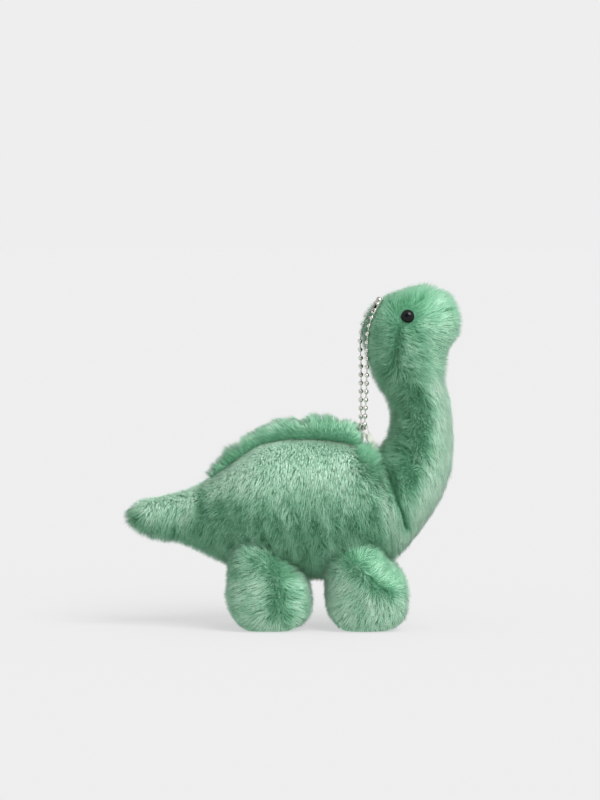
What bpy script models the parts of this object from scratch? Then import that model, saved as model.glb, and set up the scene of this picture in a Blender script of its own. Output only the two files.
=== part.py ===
"""Plush keychain: a long-necked dinosaur sewn from fur fabric, with a ball chain on a hang loop.

The frame: origin on the floor under the middle of the object, +X towards the face, +Z up and +Y to the
animal's left. Lengths in the tables are millimetres of the fabric's outer face, without the pile.
"""

import math

import bmesh
import bpy
from mathutils import Matrix, Vector

MM = 0.001

# Fabric and fits
FABRIC = 1.2  # thickness of the fur fabric's backing and the matted root of its pile
SEAM_GAP = 0.45  # each panel stops this far from the seam line
LEG_SEAM_GAP = 0.65
STUFFING_INSET = 2.0  # stuffing surface below the fabric's outer face
FIT_GAP = 0.4
SECTION_POINTS = 8  # faces on half of a section

# Body and tail, from the tail's tip to the neck seam: top x, top z, bottom x, bottom z, half width
BODY = (
    (-64.9, 50.4, -64.2, 43.4, 3.0),
    (-61.5, 52.0, -60.6, 40.3, 5.4),
    (-54.5, 52.6, -53.8, 38.5, 6.9),
    (-45.5, 54.8, -44.5, 37.6, 8.6),
    (-38.0, 57.4, -36.8, 34.2, 11.6),
    (-30.0, 62.2, -28.8, 30.4, 15.4),
    (-22.0, 68.4, -21.2, 27.2, 19.0),
    (-13.5, 74.2, -13.2, 25.0, 21.6),
    (-5.0, 76.3, -5.0, 23.8, 22.9),
    (4.0, 76.8, 4.0, 23.2, 23.3),
    (13.0, 76.4, 13.0, 22.9, 23.0),
    (21.5, 75.2, 22.5, 23.2, 22.2),
    (29.0, 72.8, 32.0, 25.8, 20.8),
    (35.2, 68.9, 41.6, 32.4, 18.4),
)
TAIL_TIP = (-66.4, 47.4)
TAIL_TIP_GAP = 0.9  # the tip's half gap, wider than the seam's because the fabric turns there
GUSSET_FIRST = 4  # body section where the belly gusset's point starts
GUSSET_STEPS = 3  # faces from the gusset's middle line to each seam
GUSSET_LEAST_ANGLE = 0.06  # half the angle of its point, radians
GUSSET_ANGLES = (2.0, 14.0, 25.0, 30.0, 32.0, 32.0, 32.0, 31.0, 30.0, 28.0)  # half angle, degrees

# Neck and head, from the neck seam to the crown: back x, back z, front x, front z, half width
NECK = (
    (35.7, 69.0, 42.1, 32.5, 18.3),
    (37.2, 70.3, 50.6, 41.7, 17.4),
    (38.6, 71.8, 56.1, 49.6, 16.2),
    (40.6, 74.8, 60.6, 58.5, 14.8),
    (42.2, 78.9, 62.8, 66.7, 13.4),
    (43.2, 84.2, 63.4, 76.5, 12.2),
    (43.3, 90.8, 62.9, 86.7, 11.4),
    (41.3, 97.3, 61.6, 95.4, 11.2),
    (37.0, 103.0, 59.4, 102.4, 11.8),
    (34.8, 109.1, 59.2, 108.6, 13.0),
    (32.5, 115.2, 62.6, 114.2, 14.2),
    (31.6, 122.4, 65.3, 120.5, 14.4),
    (32.8, 127.0, 65.8, 125.9, 13.8),
    (35.4, 130.6, 64.6, 131.0, 12.4),
    (40.2, 134.2, 61.6, 135.0, 9.2),
    (46.5, 136.5, 56.5, 137.0, 4.4),
)
CROWN = (51.8, 137.5)
HEAD_FIRST = 8  # neck section where the head starts to taper towards the snout
HEAD_TAPER = 0.16
CHEST_LAST = 3  # neck section where the chest's wad of stuffing ends
NECK_WAD_FIRST = 6  # neck section where the neck and head's wad starts
CHEST_WAD_START = 0.12  # share of the first step between sections that the chest's wad leaves free
BODY_WAD_END = 0.9  # share of the body's last step that its wad fills
HEAD_WAD_DROPS = (0.6, 1.3)  # how far the wad's last two sections sit below the fabric's
HEAD_WAD_END_INSET = 0.4
NECK_PIVOT = (53.2, 0.0, 79.0)  # the middle of the neck's bend
WAD_END_REACH = 2.0  # rounding of a wad's end, along the neck
WAD_END_SCALE = 0.6

# Legs: back x and front x from the hip, height, half width
LEG = (
    (-6.8, 15.2, 1.6, 7.6),
    (-9.0, 18.0, 5.0, 9.0),
    (-10.5, 19.6, 10.0, 9.8),
    (-10.4, 19.2, 15.0, 9.8),
    (-10.2, 18.2, 19.0, 9.6),
    (-10.0, 16.0, 22.5, 9.5),
    (-9.8, 12.8, 25.0, 9.5),
)
HIP_HEIGHT = 27.0
HIP_RADIUS = 9.6
HIP_HALF_WIDTH = 9.4
DOME_STEPS = 4
LEG_OUT = 13.6  # from the middle plane to the leg's own middle plane
HIND_HIP_X = -14.0
FRONT_HIP_X = 25.8
FOOT_FULLNESS = 0.8  # under 1 makes the foot's outline squarer
LEG_POINTS = SECTION_POINTS - 2
LEG_STUFFING_INSET = 2.4
WAD_CROWN_RISE = 0.3  # the leg wad's last step up, and how much narrower it is there
WAD_CROWN_INSET = 2.0
SOLE_THICKNESS = 1.2
SOLE_INSET = 0.9
SOLE_EDGE = 0.5  # rounding of the sole's lower edge
SOCKET_CLEARANCE = 1.3
SOCKET_BOTTOM = 5.0
SOCKET_WELL_DROP = 0.1  # from the hip down to the well's rim
SOCKET_TOE_REACH = 18.0

# Crest: each scallop's start x and end x, and the height of its crown line at both
CREST_SCALLOPS = (
    (-34.0, -10.5, 63.0, 83.8),
    (-10.5, 3.6, 83.4, 85.0),
    (3.6, 19.6, 85.2, 85.6),
    (19.6, 26.6, 84.6, 82.6),
)
CREST_ARC_POINTS = 8
CREST_FOOT_POINTS = 10
CREST_ROUNDNESS = 0.6  # under 1 makes a scallop's crown flatter and its valleys sharper
CREST_VALLEY_DEPTH = 1.8
CREST_LEAST_HEIGHT = 0.9
CREST_LAYER = 1.6
CREST_FOOT_GAP = 0.5
CREST_FRONT_FOOT = 28.2

# Eyes, their washers and the stitched mouth
EYE_SECTION = 12.42  # place along the neck's sections
EYE_ANGLE = 80.0  # degrees round the section from its back
EYE_RADIUS = 2.75
EYE_HEIGHT = 2.3
EYE_STAND = 0.5
EYE_STEPS = 5
EYE_RIM_SCALE = 0.9
EYE_BACK_DROP = 0.1
SHANK_RADIUS = 0.9
SHANK_LENGTH = 5.2
SHANK_POINT = 0.4
WASHER_BORE_GAP = 0.3
WASHER_RADIUS = 3.3
WASHER_THICKNESS = 0.8
WASHER_DEPTH = 2.3  # washer's outer face below the fabric's outer face
HOLE_CLEARANCE = 0.35
POCKET_CLEARANCE = 1.0  # the washer's pocket past the shank's end and past the fabric
EYE_HOLE = (-4.0, 2.0)  # the cutter's ends, from the fabric's outer face
MOUTH_SECTION = 13.05
MOUTH_SPREAD = 34.0  # degrees either side of the snout's middle
MOUTH_RADIUS = 0.35
MOUTH_STAND = 0.75
MOUTH_STEPS = 10

# Hang loop
LOOP_CENTRE = (29.3, 82.0)
LOOP_FOOT = (35.4, 70.8)
LOOP_INNER_RADIUS = 1.4
LOOP_TAPE = 0.45
LOOP_WIDTH = 2.6
LOOP_FOOT_SPREAD = 0.4
LOOP_ARC_STEPS = 10
LOOP_OPEN_ANGLE = 38.0  # half the angle at the bottom of the eye where the two tails leave it
LOOP_TAIL_SHARE = 0.45  # a point on each tail, as a share of the way to the eye
LOOP_TAIL_SPREAD = 0.55

# Ball chain. Each run lists the points that its beads follow.
BEAD_RADIUS = 1.0
BEAD_PITCH = 3.4
ROD_RADIUS = 0.26
JOINT_CLEARANCE = 0.4  # from a rod's free end to the next bead
NEAR_RUN = (
    (29.3, 0.0, 82.0),
    (29.5, -2.9, 83.6),
    (29.7, -3.4, 87.0),
    (30.3, -4.6, 101.0),
    (30.5, -5.6, 114.0),
    (30.6, -5.9, 119.0),
    (31.0, -6.0, 122.5),
    (31.9, -6.0, 126.0),
    (33.3, -6.0, 129.6),
)
FAR_RUN = (
    (29.3, 0.0, 82.0),
    (28.2, 2.9, 83.2),
    (28.1, 3.1, 86.6),
    (28.1, 3.1, 109.0),
    (27.7, 3.1, 116.0),
    (28.2, 3.1, 121.0),
    (29.8, 3.1, 126.6),
    (33.2, 2.9, 132.2),
    (35.7, 1.6, 135.4),
    (36.6, -1.6, 136.6),
    (36.1, -4.6, 135.8),
    (35.0, -6.0, 133.2),
)
LOWER_BEADS = 5  # beads of each run on the chain's lower section, the one in the loop left out
MIDDLE_BEADS = 5
END_BEADS = 5  # beads of the far run on the end that unhooks
BEAD_RINGS = 5
CURVE_STEPS = 12  # points on a run's curve from one listed point to the next

# Clasp: a slotted sleeve round the last bead of each run
CLASP_FOOT = (32.6, -6.0, 128.1)
CLASP_MOUTH = (35.4, -6.0, 134.1)
CLASP_INNER = 1.18
CLASP_OUTER = 1.45
CLASP_END_WALL = 0.4
CLASP_END_HOLE = 0.6
CLASP_SLOT = 0.9
CLASP_MOUTH_SLOT = 2.3
CLASP_MOUTH_DEPTH = 2.6
CLASP_SLOT_START = 0.3  # share of the clasp's length
CLASP_SLOT_FLOOR = 0.6  # from the clasp's axis to the nearer face of the slots' cutters
CLASP_BEVEL = 0.3
ROUND_SEGMENTS = 16

COLOURS = {
    "fur": ((0.33, 0.56, 0.42), 0.95, 0.0),
    "fur_shade": ((0.29, 0.51, 0.38), 0.95, 0.0),
    "stuffing": ((0.86, 0.85, 0.81), 1.0, 0.0),
    "eye": ((0.012, 0.012, 0.014), 0.08, 0.0),
    "washer": ((0.82, 0.82, 0.80), 0.5, 0.0),
    "thread": ((0.07, 0.16, 0.11), 0.8, 0.0),
    "tape": ((0.83, 0.80, 0.70), 0.6, 0.0),
    "steel": ((0.76, 0.76, 0.75), 0.22, 1.0),
}


def clear_scene():
    for obj in list(bpy.data.objects):
        bpy.data.objects.remove(obj, do_unlink=True)


def make_collection(name):
    collection = bpy.data.collections.new(name)
    bpy.context.scene.collection.children.link(collection)
    return collection


def make_material(name):
    colour, roughness, metallic = COLOURS[name]
    material = bpy.data.materials.new(name)
    material.use_nodes = True
    shader = material.node_tree.nodes["Principled BSDF"]
    shader.inputs["Base Color"].default_value = (*colour, 1.0)
    shader.inputs["Roughness"].default_value = roughness
    shader.inputs["Metallic"].default_value = metallic
    return material


clear_scene()
PARTS = make_collection("plush_keychain")
CUTTERS = make_collection("cutters")
MATERIALS = {name: make_material(name) for name in COLOURS}


def add_object(name, data, material, pivot=None):
    """Puts new data, made in frame coordinates, in the scene as a part whose origin is its pivot."""
    obj = bpy.data.objects.new(name, data)
    PARTS.objects.link(obj)
    data.materials.append(MATERIALS[material])
    if pivot is not None:
        place = Vector(pivot) * MM
        data.transform(Matrix.Translation(-place))
        obj.location = place
    return obj


def add_cutter(name, data):
    obj = bpy.data.objects.new(name, data)
    CUTTERS.objects.link(obj)
    obj.hide_render = True
    obj.display_type = "WIRE"
    return obj


def cut(obj, cutter):
    modifier = obj.modifiers.new("cut_" + cutter.name, "BOOLEAN")
    modifier.operation = "DIFFERENCE"
    modifier.solver = "EXACT"
    modifier.object = cutter


def solidify(obj, thickness):
    modifier = obj.modifiers.new("fabric", "SOLIDIFY")
    modifier.thickness = thickness * MM
    modifier.offset = -1.0


def mesh_from(bm, name, smooth=True):
    bmesh.ops.recalc_face_normals(bm, faces=bm.faces)
    mesh = bpy.data.meshes.new(name)
    bm.to_mesh(mesh)
    bm.free()
    if smooth:
        mesh.shade_smooth()
    return mesh


def section_point(section, angle, side=1.0, middle=0.0, taper=0.0, fullness=1.0, gap=0.0):
    """A point on an oval section, with the angle in radians from its first end round to its second."""
    x1, z1, x2, z2, half = section
    along = (1.0 - math.cos(angle)) / 2.0
    out = max(math.sin(angle), 0.0) ** fullness * (1.0 + taper * math.cos(angle))
    y = middle + side * (gap + (half - gap) * out)
    return Vector((x1 + (x2 - x1) * along, y, z1 + (z2 - z1) * along))


def blend_sections(first, second, share):
    return tuple(a + (b - a) * share for a, b in zip(first, second))


def shrink_section(section, inset):
    """The same section with its outline moved in."""
    x1, z1, x2, z2, half = section
    length = math.hypot(x2 - x1, z2 - z1)
    dx = (x2 - x1) / length * inset
    dz = (z2 - z1) / length * inset
    return (x1 + dx, z1 + dz, x2 - dx, z2 - dz, half - inset)


def skin_grid(name, rows, tip=None):
    """An open sheet through rows of points, closed to a tip if there is one."""
    bm = bmesh.new()
    grid = [[bm.verts.new(point * MM) for point in row] for row in rows]
    for row, after in zip(grid, grid[1:]):
        for k in range(len(row) - 1):
            bm.faces.new((row[k], row[k + 1], after[k + 1], after[k]))
    if tip is not None:
        end = bm.verts.new(tip * MM)
        for k in range(len(grid[-1]) - 1):
            bm.faces.new((grid[-1][k], grid[-1][k + 1], end))
    mesh = bpy.data.meshes.new(name)
    bm.to_mesh(mesh)
    bm.free()
    mesh.shade_smooth()
    return mesh


def outward(mesh, centre):
    """Turns a sheet's faces to look away from the line or point that the function gives for each face."""
    facing = sum((face.center - centre(face.center)).dot(face.normal) for face in mesh.polygons)
    if facing < 0.0:
        mesh.flip_normals()


def nearest_middle(sections, middle=0.0):
    """A function from a point to the nearest section's centre."""
    centres = [
        Vector(((s[0] + s[2]) / 2.0, middle, (s[1] + s[3]) / 2.0)) * MM for s in sections
    ]
    return lambda point: min(centres, key=lambda c: (point - c).length)


def closed_loft(name, rings):
    """A closed solid through full rings, with a flat cap on each end."""
    bm = bmesh.new()
    loops = []
    for ring in rings:
        verts = [bm.verts.new(point * MM) for point in ring]
        loops.append(verts)
    count = len(rings[0])
    for loop, after in zip(loops, loops[1:]):
        for k in range(count):
            bm.faces.new((loop[k], loop[(k + 1) % count], after[(k + 1) % count], after[k]))
    bm.faces.new(loops[0])
    bm.faces.new(loops[-1])
    return mesh_from(bm, name)


def full_ring(section, middle=0.0, taper=0.0, fullness=1.0, points=SECTION_POINTS):
    near = [
        section_point(section, math.pi * k / points, 1.0, middle, taper, fullness)
        for k in range(points + 1)
    ]
    far = [
        section_point(section, math.pi * k / points, -1.0, middle, taper, fullness)
        for k in range(points - 1, 0, -1)
    ]
    return near + far


def neck_taper(index):
    share = (index - HEAD_FIRST) / 3.0
    return HEAD_TAPER * min(max(share, 0.0), 1.0)


def side_name(side):
    return "left" if side > 0 else "right"


# ---- Body -------------------------------------------------------------------------------------


def gusset_angle(index):
    if index < GUSSET_FIRST:
        return 0.0
    return math.radians(GUSSET_ANGLES[index - GUSSET_FIRST])


def build_body_panel(side, sockets):
    rows = []
    for index in range(len(BODY) - 1, -1, -1):
        section = BODY[index]
        lower = gusset_angle(index)
        end = math.pi - lower
        if lower > 0.0:
            end -= SEAM_GAP / max(section[4], 1.0)
        rows.append(
            [
                section_point(section, end * k / SECTION_POINTS, side, gap=SEAM_GAP)
                for k in range(SECTION_POINTS + 1)
            ]
        )
    tip = Vector((TAIL_TIP[0], side * TAIL_TIP_GAP, TAIL_TIP[1]))
    name = "body_panel_" + side_name(side)
    mesh = skin_grid(name, rows, tip)
    outward(mesh, nearest_middle(BODY))
    obj = add_object(name, mesh, "fur")
    solidify(obj, FABRIC)
    for socket in sockets:
        cut(obj, socket)


def build_belly_gusset(sockets):
    rows = []
    for index in range(GUSSET_FIRST, len(BODY)):
        section = BODY[index]
        half = max(gusset_angle(index) - SEAM_GAP / section[4], GUSSET_LEAST_ANGLE)
        row = []
        for k in range(-GUSSET_STEPS, GUSSET_STEPS + 1):
            turn = half * k / GUSSET_STEPS
            point = section_point(section, math.pi - abs(turn), 1.0 if turn > 0 else -1.0)
            row.append(point)
        rows.append(row)
    mesh = skin_grid("belly_gusset", rows)
    outward(mesh, nearest_middle(BODY))
    obj = add_object("belly_gusset", mesh, "fur_shade")
    solidify(obj, FABRIC)
    for socket in sockets:
        cut(obj, socket)


def build_body_stuffing(sockets):
    rings = [full_ring(shrink_section(s, STUFFING_INSET)) for s in BODY[1:-1]]
    last = shrink_section(BODY[-1], STUFFING_INSET)
    back = blend_sections(shrink_section(BODY[-2], STUFFING_INSET), last, BODY_WAD_END)
    rings.append(full_ring(back))
    obj = add_object("body_stuffing", closed_loft("body_stuffing", rings), "stuffing")
    for socket in sockets:
        cut(obj, socket)


def build_socket(name, hip):
    """The hollow that a leg's top turns in: a dome over a well that is open downwards."""
    radius = HIP_RADIUS + SOCKET_CLEARANCE
    sections = []
    for height in (SOCKET_BOTTOM, hip.z - SOCKET_WELL_DROP):
        sections.append((hip.x - radius, height, hip.x + SOCKET_TOE_REACH, height, radius))
    for k in range(DOME_STEPS + 1):
        turn = math.radians(90.0) * k / (DOME_STEPS + 1)
        reach = radius * math.cos(turn)
        height = hip.z + radius * math.sin(turn)
        sections.append((hip.x - reach, height, hip.x + reach, height, reach))
    rings = [full_ring(section, hip.y) for section in sections]
    return add_cutter(name, closed_loft(name, rings))


# ---- Crest ------------------------------------------------------------------------------------


def back_height(x):
    """Height of the back's fabric at x."""
    for first, second in zip(BODY, BODY[1:]):
        if first[0] <= x <= second[0]:
            share = (x - first[0]) / (second[0] - first[0])
            return first[1] + (second[1] - first[1]) * share
    return BODY[-1][1]


def crest_outline():
    """Counter-clockwise outline of the crest in x and z."""
    first_x = CREST_SCALLOPS[0][0]
    foot = []
    for k in range(CREST_FOOT_POINTS):
        x = first_x + (CREST_FRONT_FOOT - first_x) * k / (CREST_FOOT_POINTS - 1)
        foot.append((x, back_height(x) + CREST_FOOT_GAP))
    top = []
    for start, end, crown_start, crown_end in reversed(CREST_SCALLOPS):
        for k in range(CREST_ARC_POINTS):
            share = k / CREST_ARC_POINTS
            x = end + (start - end) * share
            crown = crown_end + (crown_start - crown_end) * share
            arch = math.sin(math.pi * share) ** CREST_ROUNDNESS
            height = crown - CREST_VALLEY_DEPTH * (1.0 - arch)
            top.append((x, max(height, back_height(x) + CREST_FOOT_GAP + CREST_LEAST_HEIGHT)))
    top.append((first_x, foot[0][1] + CREST_LEAST_HEIGHT))
    return foot + top


def build_crest_layer(side):
    name = "crest_layer_" + side_name(side)
    curve = bpy.data.curves.new(name, "CURVE")
    curve.dimensions = "2D"
    curve.fill_mode = "BOTH"
    curve.extrude = CREST_LAYER / 2.0 * MM
    outline = crest_outline()
    spline = curve.splines.new("POLY")
    spline.points.add(len(outline) - 1)
    for point, (x, z) in zip(spline.points, outline):
        point.co = (x * MM, z * MM, 0.0, 1.0)
    spline.use_cyclic_u = True
    obj = add_object(name, curve, "fur")
    obj.rotation_euler = (math.radians(90.0), 0.0, 0.0)
    obj.location = (0.0, side * (CREST_LAYER / 2.0 + SEAM_GAP) * MM, 0.0)


# ---- Neck and head ----------------------------------------------------------------------------


def neck_point(place, angle, side, gap=0.0, grow=0.0):
    """A point on the neck's or head's fabric, at a place between its sections."""
    index = min(int(place), len(NECK) - 2)
    section = blend_sections(NECK[index], NECK[index + 1], place - index)
    section = shrink_section(section, -grow)
    return section_point(section, angle, side, taper=neck_taper(place), gap=gap)


def neck_normal(place, angle, side):
    step = 0.02
    along = neck_point(place + step, angle, side) - neck_point(place - step, angle, side)
    around = neck_point(place, angle + step, side) - neck_point(place, angle - step, side)
    normal = along.cross(around).normalized()
    return normal if normal.y * side > 0.0 else -normal


def eye_place(side):
    angle = math.radians(EYE_ANGLE)
    return neck_point(EYE_SECTION, angle, side), neck_normal(EYE_SECTION, angle, side)


def facing_matrix(place, direction):
    """Takes +Z of a turned part's own frame to the direction, at the place."""
    turn = direction.to_track_quat("Z", "Y").to_matrix().to_4x4()
    return Matrix.Translation(place * MM) @ turn


def turned(name, profile, material, place, direction, steps=ROUND_SEGMENTS):
    """A turned piece: the profile's (radius, height) points run down its outer side."""
    mesh = bpy.data.meshes.new(name)
    verts = [(radius * MM, 0.0, height * MM) for radius, height in profile]
    edges = [(k, k + 1) for k in range(len(profile) - 1)]
    mesh.from_pydata(verts, edges, [])
    obj = add_object(name, mesh, material)
    obj.matrix_world = facing_matrix(place, direction)
    screw = obj.modifiers.new("turn", "SCREW")
    screw.axis = "Z"
    screw.steps = steps
    screw.render_steps = steps
    screw.use_merge_vertices = True
    screw.merge_threshold = 1e-6
    screw.use_smooth_shade = True
    return obj


def build_eye(side):
    place, direction = eye_place(side)
    profile = [(0.0, EYE_HEIGHT + EYE_STAND)]
    for k in range(1, EYE_STEPS + 1):
        turn = math.radians(90.0) * k / EYE_STEPS
        profile.append((EYE_RADIUS * math.sin(turn), EYE_STAND + EYE_HEIGHT * math.cos(turn)))
    profile.append((EYE_RADIUS * EYE_RIM_SCALE, EYE_STAND - EYE_BACK_DROP))
    profile.append((SHANK_RADIUS, EYE_STAND - EYE_BACK_DROP))
    profile.append((SHANK_RADIUS, -SHANK_LENGTH))
    profile.append((0.0, -SHANK_LENGTH - SHANK_POINT))
    turned("eye_" + side_name(side), profile, "eye", place, direction)


def build_washer(side):
    place, direction = eye_place(side)
    bore = SHANK_RADIUS + WASHER_BORE_GAP
    profile = [
        (bore, -WASHER_DEPTH - WASHER_THICKNESS),
        (bore, -WASHER_DEPTH),
        (WASHER_RADIUS, -WASHER_DEPTH),
        (WASHER_RADIUS, -WASHER_DEPTH - WASHER_THICKNESS),
        (bore, -WASHER_DEPTH - WASHER_THICKNESS),
    ]
    turned("eye_washer_" + side_name(side), profile, "washer", place, direction)


def cylinder_cutter(name, radius, start, end, place, direction):
    bm = bmesh.new()
    middle = Matrix.Translation((0.0, 0.0, (start + end) / 2.0 * MM))
    bmesh.ops.create_cone(
        bm,
        cap_ends=True,
        segments=ROUND_SEGMENTS,
        radius1=radius * MM,
        radius2=radius * MM,
        depth=(end - start) * MM,
        matrix=middle,
    )
    mesh = mesh_from(bm, name)
    mesh.transform(facing_matrix(place, direction))
    return add_cutter(name, mesh)


def build_neck_panel(side):
    rows = []
    for index in range(len(NECK)):
        rows.append(
            [
                neck_point(index, math.pi * k / SECTION_POINTS, side, gap=SEAM_GAP)
                for k in range(SECTION_POINTS + 1)
            ]
        )
    tip = Vector((CROWN[0], side * SEAM_GAP, CROWN[1]))
    name = "neck_panel_" + side_name(side)
    mesh = skin_grid(name, rows, tip)
    outward(mesh, nearest_middle(NECK))
    obj = add_object(name, mesh, "fur", NECK_PIVOT)
    solidify(obj, FABRIC)
    place, direction = eye_place(side)
    radius = SHANK_RADIUS + HOLE_CLEARANCE
    hole = cylinder_cutter("eye_hole_" + side_name(side), radius, *EYE_HOLE, place, direction)
    cut(obj, hole)


def wad_end(section, inner, reach):
    """A smaller section beyond a wad's end, so that the wad ends rounded."""
    shift = Vector((section[0] + section[2], section[1] + section[3])) / 2.0
    shift -= Vector((inner[0] + inner[2], inner[1] + inner[3])) / 2.0
    shift = shift.normalized() * reach
    smaller = shrink_section(section, section[4] * (1.0 - WAD_END_SCALE))
    x1, z1, x2, z2, half = smaller
    return (x1 + shift.x, z1 + shift.y, x2 + shift.x, z2 + shift.y, half)


def build_chest_stuffing():
    wad = [shrink_section(s, STUFFING_INSET) for s in NECK[: CHEST_LAST + 1]]
    wad[0] = blend_sections(wad[0], wad[1], CHEST_WAD_START)
    wad.append(wad_end(wad[-1], wad[-2], WAD_END_REACH))
    rings = [full_ring(s) for s in wad]
    add_object("chest_stuffing", closed_loft("chest_stuffing", rings), "stuffing")


def build_neck_head_stuffing():
    wad = [shrink_section(s, STUFFING_INSET) for s in NECK[NECK_WAD_FIRST:]]
    tapers = [neck_taper(NECK_WAD_FIRST + k) for k in range(len(wad))]
    wad.insert(0, wad_end(wad[0], wad[1], WAD_END_REACH))
    tapers.insert(0, 0.0)
    wad[-1] = shrink_section(wad[-1], HEAD_WAD_END_INSET)
    for index, drop in zip((-2, -1), HEAD_WAD_DROPS):
        x1, z1, x2, z2, half = wad[index]
        wad[index] = (x1, z1 - drop, x2, z2 - drop, half)
    rings = [full_ring(s, taper=t) for s, t in zip(wad, tapers)]
    mesh = closed_loft("neck_head_stuffing", rings)
    obj = add_object("neck_head_stuffing", mesh, "stuffing", NECK_PIVOT)
    for side in (1, -1):
        place, direction = eye_place(side)
        radius = WASHER_RADIUS + HOLE_CLEARANCE
        depth = -SHANK_LENGTH - POCKET_CLEARANCE
        name = "washer_pocket_" + side_name(side)
        cut(obj, cylinder_cutter(name, radius, depth, POCKET_CLEARANCE, place, direction))


def build_mouth():
    """The stitched line across the front of the snout."""
    curve = bpy.data.curves.new("mouth_stitch", "CURVE")
    curve.dimensions = "3D"
    curve.bevel_depth = MOUTH_RADIUS * MM
    curve.bevel_resolution = 2
    curve.use_fill_caps = True
    spline = curve.splines.new("POLY")
    spline.points.add(MOUTH_STEPS)
    for k in range(MOUTH_STEPS + 1):
        turn = MOUTH_SPREAD * (2.0 * k / MOUTH_STEPS - 1.0)
        side = 1.0 if turn > 0 else -1.0
        angle = math.pi - math.radians(abs(turn))
        point = neck_point(MOUTH_SECTION, angle, side, grow=MOUTH_STAND)
        spline.points[k].co = (*(point * MM), 1.0)
    add_object("mouth_stitch", curve, "thread")


# ---- Legs -------------------------------------------------------------------------------------


def leg_sections(hip_x):
    found = [(hip_x + back, z, hip_x + front, z, half) for back, front, z, half in LEG]
    for k in range(DOME_STEPS):
        turn = math.radians(90.0) * k / DOME_STEPS
        reach = HIP_RADIUS * math.cos(turn)
        z = HIP_HEIGHT + HIP_RADIUS * math.sin(turn)
        half = HIP_HALF_WIDTH * math.cos(turn)
        found.append((hip_x - reach, z, hip_x + reach, z, half))
    return found


def half_ring(section, face, middle):
    """Points on the half of a leg's section that lies on one side of its middle plane."""
    turns = [math.pi * k / LEG_POINTS for k in range(LEG_POINTS + 1)]
    return [section_point(section, t, face, middle, 0.0, FOOT_FULLNESS, LEG_SEAM_GAP) for t in turns]


def build_leg(position, hip_x, side):
    label = position + "_" + side_name(side)
    middle = side * LEG_OUT
    pivot = (hip_x, middle, HIP_HEIGHT)
    sections = leg_sections(hip_x)
    tip_z = HIP_HEIGHT + HIP_RADIUS
    for face, name in ((side, "leg_outer_panel_"), (-side, "leg_inner_panel_")):
        rows = [half_ring(s, face, middle) for s in sections]
        tip = Vector((hip_x, middle + face * LEG_SEAM_GAP, tip_z))
        mesh = skin_grid(name + label, rows, tip)
        outward(mesh, nearest_middle(sections, middle))
        obj = add_object(name + label, mesh, "fur", pivot)
        solidify(obj, FABRIC)
    wad = [shrink_section(s, LEG_STUFFING_INSET) for s in sections[:-1]]
    low = wad[0]
    wad[0] = (low[0], SOLE_THICKNESS + FIT_GAP, low[2], SOLE_THICKNESS + FIT_GAP, low[4])
    top = wad[-1]
    rise = WAD_CROWN_RISE
    inset = WAD_CROWN_INSET
    wad.append((top[0] + inset, top[1] + rise, top[2] - inset, top[3] + rise, top[4] - inset))
    rings = [full_ring(s, middle, 0.0, FOOT_FULLNESS, LEG_POINTS) for s in wad]
    stuffing = closed_loft("leg_stuffing_" + label, rings)
    add_object("leg_stuffing_" + label, stuffing, "stuffing", pivot)
    build_sole(label, sections[0], middle, pivot)


def build_sole(label, section, middle, pivot):
    """The flat fabric sole under a foot."""
    outline = shrink_section(section, SOLE_INSET)
    rings = []
    for height, inset in ((0.0, SOLE_EDGE), (SOLE_THICKNESS / 2.0, 0.0), (SOLE_THICKNESS, 0.0)):
        x1, _, x2, _, half = shrink_section(outline, inset)
        flat = (x1, height, x2, height, half)
        rings.append(full_ring(flat, middle, 0.0, FOOT_FULLNESS, SECTION_POINTS))
    add_object("sole_" + label, closed_loft("sole_" + label, rings), "fur_shade", pivot)


# ---- Hang loop --------------------------------------------------------------------------------


def build_hang_loop():
    centre = Vector((LOOP_CENTRE[0], 0.0, LOOP_CENTRE[1]))
    foot = Vector((LOOP_FOOT[0], 0.0, LOOP_FOOT[1]))
    down = (foot - centre).normalized()
    across = Vector((-down.z, 0.0, down.x))
    start_turn = math.radians(LOOP_OPEN_ANGLE)
    path = [foot + across * LOOP_FOOT_SPREAD]
    path.append(foot.lerp(centre, LOOP_TAIL_SHARE) + across * LOOP_TAIL_SPREAD)
    for k in range(LOOP_ARC_STEPS + 1):
        turn = start_turn + (2.0 * math.pi - 2.0 * start_turn) * k / LOOP_ARC_STEPS
        path.append(centre + (down * math.cos(turn) + across * math.sin(turn)) * LOOP_INNER_RADIUS)
    path.append(foot.lerp(centre, LOOP_TAIL_SHARE) - across * LOOP_TAIL_SPREAD)
    path.append(foot - across * LOOP_FOOT_SPREAD)
    half = Vector((0.0, LOOP_WIDTH / 2.0, 0.0))
    mesh = skin_grid("hang_loop", [[point - half, point + half] for point in path])
    outward(mesh, lambda point: centre * MM)
    obj = add_object("hang_loop", mesh, "tape", foot)
    solidify(obj, LOOP_TAPE)
    obj.modifiers["fabric"].offset = 1.0


# ---- Ball chain -------------------------------------------------------------------------------


def smooth_run(points):
    """Points close together on a smooth curve through the given ones."""
    knots = [Vector(p) for p in points]
    knots = [2 * knots[0] - knots[1], *knots, 2 * knots[-1] - knots[-2]]
    found = []
    for a, b, c, d in zip(knots, knots[1:], knots[2:], knots[3:]):
        for k in range(CURVE_STEPS):
            t = k / CURVE_STEPS
            found.append(
                0.5
                * (
                    2 * b
                    + (c - a) * t
                    + (2 * a - 5 * b + 4 * c - d) * t**2
                    + (3 * b - a - 3 * c + d) * t**3
                )
            )
    found.append(knots[-2])
    return found


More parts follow.
